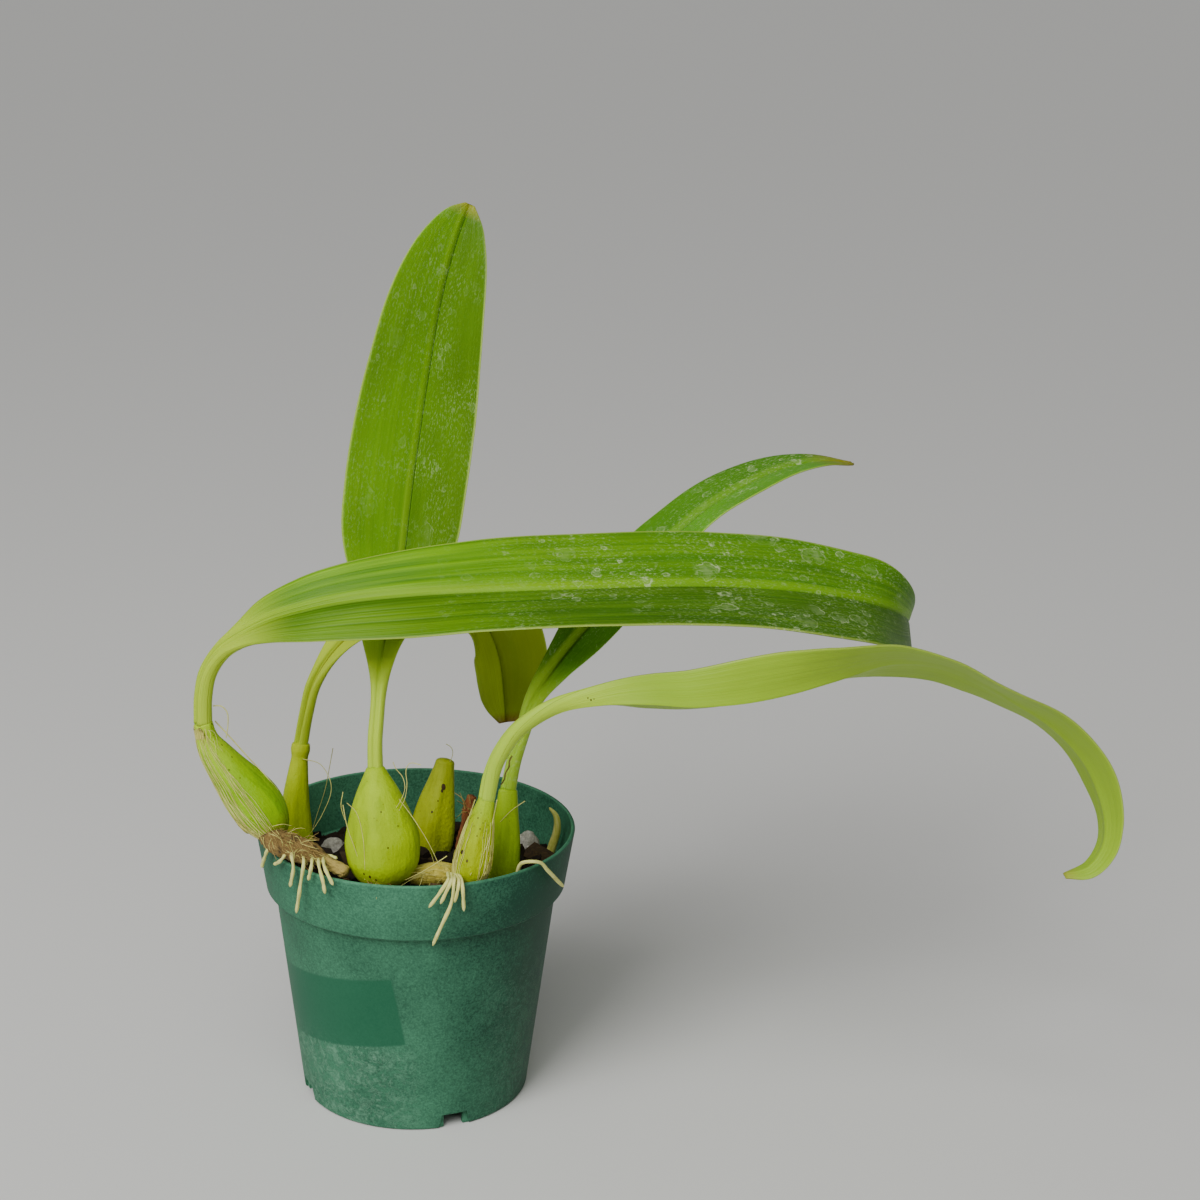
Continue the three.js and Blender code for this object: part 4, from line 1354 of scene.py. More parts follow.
class Studio:
    """The pale floor, the soft lights and the camera at the photograph's angle.

    A soft box is given by its name, its place and its aim in metres, its side in metres and
    its power in watts.
    """

    EYE = Vector((56.8, -657.8, 355.6))
    PITCH = math.radians(16.14)
    ROLL = math.radians(1.53)
    PHOTO_SIDE = 1200
    FOCAL_PIXELS = 2203.0
    SENSOR = 36.0
    SOFT_BOXES = (
        ("key_light", (-0.5, -0.95, 1.0), (0.04, 0.0, 0.14), 0.7, 13.0),
        ("fill_light", (1.1, -1.1, 0.8), (0.04, 0.0, 0.12), 1.2, 1.0),
    )
    EVEN_STRENGTH = 1.5
    EVEN_SPREAD = math.radians(50)
    EVEN_WAY = Vector((0.25, 0.75, -1.0))
    AIR_COLOUR = "#eef0f2"
    AIR_STRENGTH = 0.24
    FLOOR_RADIUS = 90.0
    FLOOR_DROP = 0.0002

    def __init__(self) -> None:
        """Work out which way the camera looks."""
        level_right = Vector((1, 0, 0))
        self.forward = Vector((0, math.cos(self.PITCH), -math.sin(self.PITCH)))
        level_up = level_right.cross(self.forward)
        turn, lean = math.cos(self.ROLL), math.sin(self.ROLL)
        self.right = level_right * turn + level_up * lean
        self.up = level_up * turn - level_right * lean

    def through(self, pixel: tuple[float, float], depth: float) -> Vector:
        """The point that a pixel of the photograph shows, at a given depth.

        Args:
            pixel: its place in the photograph's frame of 1200 by 1200.
            depth: the point's Y, in millimetres.

        Returns:
            The point, in millimetres.
        """
        across = (pixel[0] - self.PHOTO_SIDE / 2) / self.FOCAL_PIXELS
        down = (pixel[1] - self.PHOTO_SIDE / 2) / self.FOCAL_PIXELS
        ray = self.forward + self.right * across - self.up * down
        return self.EYE + ray * ((depth - self.EYE.y) / ray.y)

    def camera(self) -> None:
        """Set up the camera."""
        data = bpy.data.cameras.new("camera")
        data.sensor_width = self.SENSOR
        data.lens = self.SENSOR * self.FOCAL_PIXELS / self.PHOTO_SIDE
        data.clip_start, data.clip_end = 0.01, 200
        camera = added("camera", data)
        turned = Matrix((self.right, self.up, -self.forward)).transposed().to_4x4()
        camera.matrix_world = Matrix.Translation(self.EYE * MM) @ turned
        bpy.context.scene.camera = camera

    def lights(self) -> None:
        """Hang the soft boxes, the even light from all sides and the pale air."""
        for name, place, aim, side, watts in self.SOFT_BOXES:
            data = bpy.data.lights.new(name, "AREA")
            data.shape = "SQUARE"
            data.size = side
            data.energy = watts
            look = (Vector(aim) - Vector(place)).to_track_quat("-Z", "Y")
            added(name, data).matrix_world = Matrix.Translation(place) @ look.to_matrix().to_4x4()
        sky = bpy.data.lights.new("even_light", "SUN")
        sky.energy = self.EVEN_STRENGTH
        sky.angle = self.EVEN_SPREAD
        added("even_light", sky).rotation_euler = self.EVEN_WAY.to_track_quat("-Z", "Y").to_euler()
        world = bpy.data.worlds.new("studio_air")
        world.use_nodes = True
        air = {"Color": self.AIR_COLOUR, "Strength": self.AIR_STRENGTH}
        feed(world.node_tree, world.node_tree.nodes["Background"], air)
        bpy.context.scene.world = world

    def build(self) -> None:
        """Lay the floor, hang the lights and set up the camera."""
        choose()
        bpy.ops.mesh.primitive_circle_add(
            vertices=96, radius=self.FLOOR_RADIUS, fill_type="NGON", location=(0, 0, -self.FLOOR_DROP)
        )
        floor = bpy.context.object
        floor.name = "studio_floor"
        freeze()
        floor.data.materials.append(PaintedBoard("painted_board").build())
        self.lights()
        self.camera()


def soil_height(x: float, y: float) -> float:
    """The top of the mix, which has sunk towards the back and is uneven, in millimetres."""
    wave = math.sin(x * 0.31 + 1.3) * math.cos(y * 0.27) + 0.6 * math.sin(x * 0.83 - y * 0.71)
    return SOIL_MIDDLE - SOIL_FALL * y + SOIL_WAVE * wave


@dataclass(frozen=True)
class PottingMix:
    """The bark mix: a closed body up to its uneven top, with loose chips and crumbs on it."""

    keep_off: tuple[Point, ...]
    pot: NurseryPot = NurseryPot()
    chips: int = 380
    crumbs: int = 700
    sunk: float = 0.8
    shoulder: float = 69.0
    seed: int = 7

    def edge(self, turn: float) -> float:
        """How far out the top of the mix reaches on one side, half into the pot's wall."""
        radius = self.pot.base_radius
        for _ in range(4):
            x, y = radius * math.cos(turn), radius * math.sin(turn)
            radius = self.pot.inside(soil_height(x, y) - self.sunk)
        return radius

    def body(self) -> Piece:
        """Model the body of the mix under the loose bits."""
        top_from, rings = 0.4, 60

        def at(fraction: float) -> Section:
            """The section at this fraction: up the wall first, then in over the top."""

            def corner(turn: float) -> Spot:
                """The corner at this turn."""
                way = Vector((math.cos(turn), math.sin(turn), 0.0))
                edge = self.edge(turn)
                top = soil_height(*(way.xy * edge)) - self.sunk
                if fraction < top_from:
                    knee = min(self.shoulder, top - 0.5)
                    floor = ((1.0, 1.9), (21.4, 1.9), (24.4, 6.8), (35.4, 6.8))
                    rows = (*floor, (self.pot.inside(knee), knee), (edge, top))
                    place = fraction / top_from * (len(rows) - 1)
                    i = min(int(place), len(rows) - 2)
                    radius, level = Vector(rows[i]).lerp(Vector(rows[i + 1]), place - i)
                else:
                    radius = edge * (1 - (fraction - top_from) / (1.001 - top_from))
                    level = soil_height(*(way.xy * radius)) - self.sunk
                spot = way * radius + UP * level
                return spot, spot, Vector((0.0, fraction, 0.0))

            return corner

        piece = skin("potting_mix", at, 96, rings)
        self.tint(piece, 0.15)
        return piece

    @staticmethod
    def tint(piece: Piece, tone: float) -> None:
        """Give a whole piece one tone, from dark at 0 to pale at 1."""
        tones = piece.data.attributes.new("tone", "FLOAT", "POINT")
        tones.data.foreach_set("value", [tone] * len(piece.data.vertices))

    def prototypes(self, draw: random.Random) -> list[Piece]:
        """Model four chips that differ in their break."""
        made = []
        for flatness in (0.3, 0.42, 0.5, 0.62):
            choose()
            bpy.ops.mesh.primitive_cube_add(size=2 * MM, scale=(1.0, 0.62, flatness))
            chip = bpy.context.object
            freeze()
            bpy.ops.object.mode_set(mode="EDIT")
            bpy.ops.mesh.select_all(action="SELECT")
            bpy.ops.mesh.subdivide(
                number_cuts=2, fractal=0.9, fractal_along_normal=0.2, seed=draw.randint(1, 90)
            )
            bpy.ops.object.mode_set(mode="OBJECT")
            made.append(chip)
        return made

    def clear_of_plant(self, x: float, y: float, size: float) -> bool:
        """Tell whether a bit of this size can lie here without piercing a bulb."""
        return all(math.hypot(x - a, y - b) > radius + 0.55 * size for a, b, radius in self.keep_off)

    def scatter(
        self, name: str, kinds: list[Piece], draw: random.Random, count: int, least: float, most: float
    ) -> Piece:
        """Copy bits of bark over the top of the mix.

        Args:
            name: the joined piece's name.
            kinds: the prototypes.
            draw: the source of chance.
            count: how many to lay.
            least: the least half length, in millimetres.
            most: the greatest half length, in millimetres.

        Returns:
            All the copies in one piece.
        """
        laid = []
        while len(laid) < count:
            size = least + (most - least) * draw.random() ** 2
            angle = draw.random() * FULL_TURN
            radius = (self.edge(angle) + 0.2 - 1.2 * size) * math.sqrt(draw.random())
            x, y = radius * math.cos(angle), radius * math.sin(angle)
            turn = Euler((draw.gauss(0, 0.45), draw.gauss(0, 0.4), draw.random() * FULL_TURN))
            kind = draw.choice(kinds)
            tone = min(max(draw.gauss(0.42, 0.26), 0.0), 1.0)
            if not self.clear_of_plant(x, y, size):
                continue
            bit = added(name, kind.data.copy())
            place = Vector((x, y, soil_height(x, y) + 0.16 * size - 0.3)) * MM
            bit.matrix_world = Matrix.LocRotScale(place, turn, Vector((size,) * 3))
            self.tint(bit, tone)
            laid.append(bit)
        return joined(laid, name)

    def build(self) -> Piece:
        """Model the mix and settle it.

        Returns:
            The body of the mix.
        """
        finish = PineBark("damp_pine_bark").build()
        draw = random.Random(self.seed)
        kinds = self.prototypes(draw)
        body = self.body()
        chips = self.scatter("bark_chips", kinds, draw, self.chips, 1.9, 5.6)
        crumbs = self.scatter("bark_crumbs", kinds[2:], draw, self.crumbs, 0.6, 1.7)
        for kind in kinds:
            bpy.data.objects.remove(kind)
        for piece in (body, chips, crumbs):
            settle(piece, Slot.MIX, finish, "potting_mix")
        return body


@dataclass(frozen=True)
class PumiceLump:
    """A lump of pumice, half sunk in the mix."""

    centre: Point
    size: Point
    seed: int

    def build(self, name: str, finish: bpy.types.Material) -> None:
        """Model the lump and settle it.

        Args:
            name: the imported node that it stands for.
            finish: its material.
        """
        choose()
        bpy.ops.mesh.primitive_ico_sphere_add(subdivisions=4, radius=1)
        lump = named(bpy.context.object, f"{name}_stone")
        for corner in lump.data.vertices:
            way = corner.co.normalized()
            shift = Vector((self.seed, 0.0, 0.0))
            swell = 0.92 + 0.16 * noise.noise(way * 1.4 + shift) + 0.07 * noise.noise(way * 4.5 + shift)
            spread = (middle + half * part * swell for middle, half, part in zip(self.centre, self.size, way))
            corner.co = Vector(list(spread)) * MM
        bpy.ops.object.shade_smooth()
        settle(lump, Slot.PUMICE, finish, name)


PUMICE: dict[str, PumiceLump] = {
    "pumice_right": PumiceLump((35.2, 10, 78), (4.4, 4.4, 5.6), 11),
    "pumice_left": PumiceLump((-27.4, 4.6, 77), (4.6, 4.4, 4.6), 5),
    "pumice_back": PumiceLump((-9, 27, 72.6), (5, 4.4, 3.8), 23),
}
STEMS: dict[str, Stem] = {
    "left_front": Stem(
        ((-40.5, -24.5, 93.6), (-45.6, -24, 101.4), (-51.2, -24, 109), (-57, -25, 117.2),
         (-61.2, -26, 124.4), (-62.9, -26, 131)),
        ((0, 3.4), (0.06, 5.4), (0.14, 7), (0.27, 8.1), (0.42, 7.6), (0.58, 6.2), (0.78, 4.5),
         (0.92, 3.1), (1, 2.9)),
        ribs=7, rib_depth=0.01,
    ),
    "left_rear": Stem(
        ((-38.6, 6.4, 72.5), (-39.9, 8, 90), (-38.3, 11, 111.7)),
        ((0, 3.2), (0.12, 4.7), (0.3, 4.9), (0.55, 4.1), (0.8, 3), (0.88, 2.7), (0.94, 3.1), (1, 2.8)),
        ribs=4, rib_depth=0.045,
    ),
    "centre": Stem(
        ((-6.4, -36.2, 82.6), (-7.3, -34, 94), (-8.9, -31.4, 108), (-10.2, -29.2, 119.4)),
        ((0, 4), (0.06, 7.4), (0.18, 10.4), (0.3, 11.3), (0.4, 11.4), (0.55, 10), (0.7, 8),
         (0.82, 6), (0.92, 4), (1, 2.5)),
        ribs=6, rib_depth=0.012,
    ),
    "rear": Stem(
        ((4, 9.4, 71), (4.8, 11, 86), (8.2, 14, 106.4)),
        ((0, 4), (0.15, 6.2), (0.35, 7), (0.6, 5.8), (0.8, 4.2), (0.94, 3.2), (1, 3.0)),
        ribs=5, rib_depth=0.05, rounding=1.3,
    ),
    "right_front": Stem(
        ((18.4, -38.6, 84.4), (20.6, -38, 94), (22.4, -36, 104), (24.2, -34, 111.6)),
        ((0, 2.4), (0.08, 4.4), (0.22, 5.6), (0.45, 5.3), (0.7, 4.3), (0.9, 3), (1, 2.5)),
        ribs=5, rib_depth=0.03,
    ),
    "right_rear": Stem(
        ((27.8, -22, 77), (29.2, -20, 92), (29.8, -16, 108.2)),
        ((0, 3.4), (0.15, 5), (0.4, 4.9), (0.7, 3.8), (0.92, 3.1), (1, 2.8)),
        ribs=4, rib_depth=0.035,
    ),
}


def leaf_foot(bulb: str) -> Point:
    """The point just inside a bulb's top from which its leaf grows."""
    top, before = (Vector(STEMS[bulb].path[i]) for i in (-1, -2))
    return tuple(top - (top - before).normalized() * 0.7)


LEAVES: dict[str, Leaf] = {
    "left_front": Leaf(
        (leaf_foot("left_front"), (-62.4, -26, 139), (-60.6, -26, 147), (-55, -26.5, 155),
         (-43.5, -28, 163), (-30, -29, 167.8), (-18, -29, 170.6), (-1, -28, 172.8),
         (17, -26.5, 174.1), (38, -24, 174.9), (57, -20, 174.9), (77, -15.5, 174.8),
         (97, -11, 173.9), (119, -3, 170.7), (136, 5, 166.4), (147, 13, 161.6),
         (154.5, 22.5, 156.2), (158, 33, 151), (156, 43, 144.5)),
        ((0, -0.8, -0.5, 0.2), (0.08, -0.75, -0.6, 0.4), (0.15, -0.35, -0.8, 0.55),
         (0.22, 0, -0.78, 0.62), (0.3, 0.03, -0.66, 0.75), (0.38, 0, -0.48, 0.87),
         (0.6, 0, -0.38, 0.92), (0.74, 0.2, -0.39, 0.9), (0.83, 0.45, -0.42, 0.75),
         (0.88, 0.78, -0.4, 0.42), (0.94, 0.92, -0.3, 0.1), (1, 0.95, -0.25, -0.2)),
        ((0, 2.8), (0.05, 2.7), (0.09, 3), (0.12, 4.8), (0.15, 7.6), (0.19, 10.4), (0.24, 12.8),
         (0.31, 16.1), (0.4, 20.6), (0.5, 22.8), (0.66, 23.8), (0.74, 23.4), (0.82, 20),
         (0.88, 15.5), (0.95, 8.5), (1, 1.8)),
        ((0, 6), (0.09, 12), (0.14, 16), (0.25, 7), (0.4, 10), (0.6, 9), (0.85, 6), (1, 12)),
        ((0, 5.4), (0.1, 5), (0.16, 4), (0.3, 2.8), (0.7, 1.9), (1, 1)),
    ),
    "right_front": Leaf(
        (leaf_foot("right_front"), (25.6, -33.2, 119), (28, -33.5, 125.6), (34, -34, 134.6),
         (45.7, -35, 142.4), (58, -35.5, 145.2), (72.5, -36, 145.4), (85, -35, 144.6),
         (100, -33, 145.5), (114.5, -30, 148), (127, -28, 151.6), (145, -25, 156.7),
         (161, -24, 155.8), (174, -23.5, 150.1), (184, -23, 144.3), (196.5, -23, 136.3),
         (206.5, -23, 126), (212.3, -23, 115.4), (215.3, -24, 105.4), (214.6, -26, 97.6),
         (209.8, -28, 91.2), (202, -29, 89)),
        ((0, -0.6, -0.3, 0.6), (0.1, -0.5, 0.1, 0.6), (0.2, 0, 0.8, 0.5), (0.25, 0, 0.95, 0.3),
         (0.32, -0.1, 0.91, 0.4), (0.4, -0.25, 0.75, 0.6), (0.48, -0.33, 0.56, 0.75),
         (0.54, -0.3, 0.53, 0.79), (0.6, 0.12, 0.49, 0.87), (0.66, 0.42, 0.42, 0.8),
         (0.75, 0.53, 0.43, 0.73), (0.8, 0.65, 0.44, 0.63), (0.86, 0.8, 0.46, 0.38),
         (0.92, 0.94, 0.33, -0.04), (1, 0.4, 0.3, -0.85)),
        ((0, 2.5), (0.04, 2.9), (0.1, 3.1), (0.16, 3.2), (0.2, 4.6), (0.25, 7.4), (0.32, 10.4), (0.4, 13.6),
         (0.48, 16), (0.6, 16.4), (0.7, 14.6), (0.8, 11.6), (0.88, 8.6), (0.94, 5.6),
         (0.98, 3.2), (1, 1.3)),
        ((0, 6), (0.12, 14), (0.2, 26), (0.28, 38), (0.35, 36), (0.42, 25), (0.48, 13),
         (0.54, -1), (0.6, -9), (0.66, -9), (0.75, 2), (0.86, 6), (1, 8)),
        ((0, 4.8), (0.14, 4.6), (0.22, 3.4), (0.35, 2.2), (0.7, 1.6), (1, 1)),
    ),
    "left_rear": Leaf(
        (leaf_foot("left_rear"), (-36.6, 12, 121), (-34.5, 15, 130), (-30, 21, 138),
         (-23, 29, 144), (-12, 39, 148), (0, 47, 149.5), (11, 53, 146.5), (19, 57, 138),
         (23.2, 58, 127), (25, 57, 115), (26, 55, 105)),
        ((0, -0.6, -0.6, 0.3), (0.2, -0.4, -0.75, 0.5), (0.45, 0.1, -0.6, 0.75),
         (0.65, 0.4, -0.7, 0.6), (0.8, 0.55, -0.8, 0.25), (1, 0.45, -0.87, 0.1)),
        ((0, 2.3), (0.08, 2.3), (0.2, 3.2), (0.3, 5.6), (0.42, 11), (0.6, 16.5), (0.76, 17),
         (0.88, 15.5), (0.96, 10.5), (1, 4)),
        ((0, 6), (0.25, 16), (0.4, 28), (1, 27)),
        ((0, 4.4), (0.15, 4), (0.3, 2.6), (0.7, 1.8), (1, 1)),
        groove=0.42,
    ),
    "centre": Leaf(
        (leaf_foot("centre"), (-10.3, -28, 127), (-10, -25.2, 134), (-9.8, -21, 141),
         (-9.7, -16, 147.3), (-9.2, -10.4, 153.5), (-7.6, -5, 160.3), (-5.6, 0, 168.4),
         (-4.4, 5, 178.6), (-3.5, 9, 189.5), (-2.4, 13.2, 201), (-0.3, 19, 218.7),
         (1.8, 23, 234.4), (4.2, 27, 250.5), (7.9, 30, 267), (11.1, 32, 277.4), (13.2, 33, 282.4)),
        ((0, -0.1, -1, 0.1), (0.2, -0.1, -0.95, 0.3), (0.35, -0.08, -0.9, 0.5),
         (0.5, -0.06, -0.95, 0.3), (0.75, -0.02, -0.97, 0.22), (1, 0, -0.98, 0.2)),
        ((0, 2.4), (0.06, 2.3), (0.14, 2.7), (0.19, 5), (0.25, 10.5), (0.32, 17), (0.4, 21.6),
         (0.5, 23.2), (0.6, 23.4), (0.7, 22.6), (0.8, 20.3), (0.88, 16.2), (0.94, 11.2),
         (0.98, 6.2), (1, 1.8)),
        ((0, 6), (0.16, 16), (0.25, 34), (0.4, 34), (0.6, 37), (0.8, 40), (1, 26)),
        ((0, 4.6), (0.15, 4.4), (0.25, 3.4), (0.4, 2.5), (0.7, 1.8), (1, 1)),
    ),
    "right_rear": Leaf(
        (leaf_foot("right_rear"), (31.4, -13, 116), (34, -10, 125), (37, -6, 134), (43.4, 0, 143),
         (51.3, 8, 151.2), (61.3, 18, 160), (71.2, 28, 169), (80.8, 36.5, 177.2),
         (91, 44.5, 184.5), (103, 52, 190.5), (116, 60, 195), (129, 67, 196.5), (141, 73, 195)),
        ((0, -0.5, -0.6, 0.4), (0.12, -0.3, -0.85, 0.3), (0.22, -0.05, -0.97, 0.15),
         (0.35, -0.15, -0.9, 0.35), (0.5, -0.38, -0.62, 0.68), (0.62, -0.42, -0.38, 0.82),
         (0.75, -0.25, -0.22, 0.95), (1, 0, -0.1, 0.99)),
        ((0, 2.4), (0.06, 2.3), (0.16, 3), (0.23, 5.2), (0.32, 9.2), (0.45, 11.2), (0.62, 12.2),
         (0.75, 12.4), (0.86, 9.4), (0.95, 5), (1, 1.4)),
        ((0, 6), (0.18, 16), (0.32, 30), (0.6, 16), (1, 6)),
        ((0, 4.6), (0.14, 4.2), (0.25, 3), (0.6, 2), (1, 1)),
    ),
}

ROOT_RADII: Keys = (
    (0, 0.52), (0.2, 0.44), (0.36, 0.58), (0.52, 0.42), (0.7, 0.6), (0.82, 0.48), (0.93, 0.56), (1, 0.3),
)
LEFT_RHIZOME = Stem(
    ((-44.6, -26.6, 94.6), (-39.4, -30.6, 93.9), (-32.8, -34.9, 93.6), (-27.4, -36.8, 92.8),
     (-22.4, -39, 90.8), (-17.4, -41.6, 89)),
    ((0, 2.6), (0.14, 3.7), (0.4, 4), (0.6, 3.2), (0.7, 1.9), (0.78, 1.9), (0.97, 2), (1, 1.85)),
    roughen=0.22,
)
RIGHT_RHIZOME = Stem(
    ((0, -32.4, 84.6), (5, -32, 85.4), (10, -33.6, 86.6), (14.6, -36.6, 88)),
    ((0, 2.4), (0.2, 3), (0.6, 3.4), (1, 2.8)),
    roughen=0.16,
)
LEFT_ROOTS: tuple[tuple[Point, ...], ...] = (
    ((-41, -29.5, 93.4), (-42.6, -31.6, 92.4), (-44.6, -28.8, 87.4), (-45.6, -27, 84)),
    ((-37.4, -32.4, 92.6), (-37, -37, 92.4), (-38.8, -35.6, 89.8), (-40.8, -33.6, 88)),
    ((-34.4, -34, 93.4), (-34.4, -39.6, 93.4), (-33.8, -40.6, 90), (-35, -39.8, 83.4)),
    ((-31.6, -36, 93), (-30.4, -42.6, 92.4), (-31.6, -42.4, 84.4), (-33, -41.2, 75.4)),
    ((-28.6, -37, 92.6), (-27.8, -44.4, 92.6), (-28.8, -44.2, 87.6)),
    ((-26.6, -37, 92.4), (-25.4, -45.4, 92.8), (-24.2, -46.8, 89.4), (-23.4, -47.4, 84.8)),
    ((-25.2, -37.2, 92.6), (-23.6, -46.2, 93), (-20.8, -48.6, 88.2)),
    ((-27.6, -36.2, 92.4), (-24.2, -36.2, 92.6), (-20.9, -36.6, 91.8)),
)
RIGHT_ROOTS: tuple[tuple[Point, ...], ...] = (
    ((12.8, -36, 87.4), (13.2, -43.6, 90.8), (13.6, -50.6, 91.4), (11.4, -51.6, 88), (8.2, -52.4, 83.4)),
    ((13, -36.4, 87.6), (14.4, -45, 91), (14.6, -51, 91.2), (13, -52, 87.8), (11.6, -52.2, 84.6)),
    ((13.4, -36.8, 87.8), (15.4, -46.2, 91), (15.6, -51, 91.4), (14.8, -52, 84.6),
     (12.2, -52.2, 78.2), (9.4, -52.2, 71)),
    ((13.8, -37, 88), (16.4, -47, 91.2), (17, -50.6, 90.8), (15.8, -51.6, 85)),
    ((14, -37.2, 88), (17.4, -47.4, 91.2), (18, -50.4, 90.4), (18.6, -50.6, 81.8)),
)
SPROUT = Stem(
    ((40.6, 9.2, 70), (43.4, 8.4, 79), (44.9, 7.4, 85.6), (44.4, 6.6, 90.4), (42.2, 6, 93.4)),
    ((0, 1.5), (0.5, 1.35), (0.8, 1), (1, 0.35)),
)
FLOWER_STUB = Stem(
    ((12, -18, 74), (14.6, -18, 90), (17, -18, 99.6), (18.8, -18, 106.4)),
    ((0, 0.5), (0.45, 0.62), (0.7, 0.9), (0.84, 1.5), (1, 1.4)),
    ribs=5, rib_depth=0.16, roughen=0.25,
)
STRAY_ROOT = Stem(
    ((32.2, -30.8, 75), (33.4, -32.2, 85), (34.5, -33.4, 90), (36, -34.8, 91.5), (38.6, -35.4, 92),
     (41, -33.6, 90.8), (42.8, -31.2, 87.6), (45.4, -27.2, 83), (47.8, -22.6, 78.4)),
    ((0, 0.5), (0.3, 0.64), (0.5, 0.5), (0.75, 0.62), (0.95, 0.52), (1, 0.34)),
    roughen=0.06,
)


BULB_SKINS: dict[str, PseudobulbSkin] = {
    "left_front": PseudobulbSkin("pseudobulb_skin_green", "#8cba00", "#aed024", "#568e00"),
    "centre": PseudobulbSkin("pseudobulb_skin_chartreuse", "#a4c200", "#a6c410", "#86a600"),
    "rear": PseudobulbSkin("pseudobulb_skin_old", "#b6c41c", "#b0bc26", "#909c14", wrinkle=0.2),
    "left_rear": PseudobulbSkin("pseudobulb_skin_ribbed", "#b2c800", "#b4c41c", "#94a80a"),
    "right_front": PseudobulbSkin("pseudobulb_skin_pitted", "#a6b800", "#a8c81c", "#8a9600", wrinkle=0.24),
    "right_rear": PseudobulbSkin("pseudobulb_skin_shaded", "#8eb000", "#a3c41c", "#729000"),
}
# Besides their colours, the leaves carry painted light and shade on one half, along the midrib's flank and
# groove, and on the margin.
LEAF_SKINS: dict[str, tuple[Slot, LeatheryLeaf]] = {
    "left_front": (Slot.LEAF_GREEN, LeatheryLeaf(
        "leathery_leaf_green", "#397000", "#7cae08", "#b4d034", "#8fb41c", "#7c8a1c", blade_from=0.12,
        veins=0.9, midrib=0.5, minerals=0.62, minerals_from=0.28, painted_half_shading=0.66, rib="#96be1c")),
    "right_front": (Slot.LEAF_PALE, LeatheryLeaf(
        "leathery_leaf_pale", "#3a6400", "#8cb020", "#b0d038", "#96ba28", "#a0a838", veins=0.35,
        minerals=0.35)),
    "left_rear": (Slot.LEAF_OLIVE, LeatheryLeaf(
        "leathery_leaf_olive", "#788c02", "#94a008", "#b2c82c", "#858c10", "#7a5a18", blade_from=0.3,
        tip_from=0.972, midrib=0.1, veins=0.3, minerals=0.1, painted_half_shading=1.6, stalk_groove_shadow=0.85,
        groove=0.45)),
    "centre": (Slot.LEAF_GREEN, LeatheryLeaf(
        "leathery_leaf_centre", "#649806", "#86b40c", "#b4d034", "#8fb424", "#9a9c2c", tip_from=0.975,
        veins=0.3, midrib=0.45, minerals=0.55, painted_half_shading=0.58, groove=0.85, rib_highlight_place=1.1,
        rib_highlight_width=1.7, dusting=0.62, rings=0.5)),
    "right_rear": (Slot.LEAF_DARK, LeatheryLeaf(
        "leathery_leaf_dark", "#437a0c", "#6a9c1c", "#9cc028", "#7c9c24", "#8c8418", blade_from=0.19,
        tip_from=0.9, midrib=0.75, veins=0.4, minerals=0.6, painted_half_shading=1.5, dusting=0.8,
        minerals_from=-0.2)),
}


@dataclass(frozen=True)
class Foliage:
    """The pseudobulbs and the leaves that crown them."""

    bulb_sides: int = 64
    bulb_rings: int = 90
    leaf_sides: int = 72
    leaf_rings: int = 220

    def build(self) -> dict[str, Piece]:
        """Model and settle all of them.

        Returns:
            The bulbs and the leaves by name, for what is laid on them.
        """
        grown = {}
        for name, stem in STEMS.items():
            bulb = stem.build(f"bulb_{name}", self.bulb_sides, self.bulb_rings)
            settle(bulb, Slot.BULB, BULB_SKINS[name].build(), f"pseudobulb_{name}")
            grown[name] = bulb
        for name, leaf in LEAVES.items():
            slot, finish = LEAF_SKINS[name]
            blade = leaf.build(f"blade_{name}", self.leaf_sides, self.leaf_rings)
            settle(blade, slot, finish.build(), f"leaf_{name}")
            grown[f"{name}_leaf"] = blade
        return grown


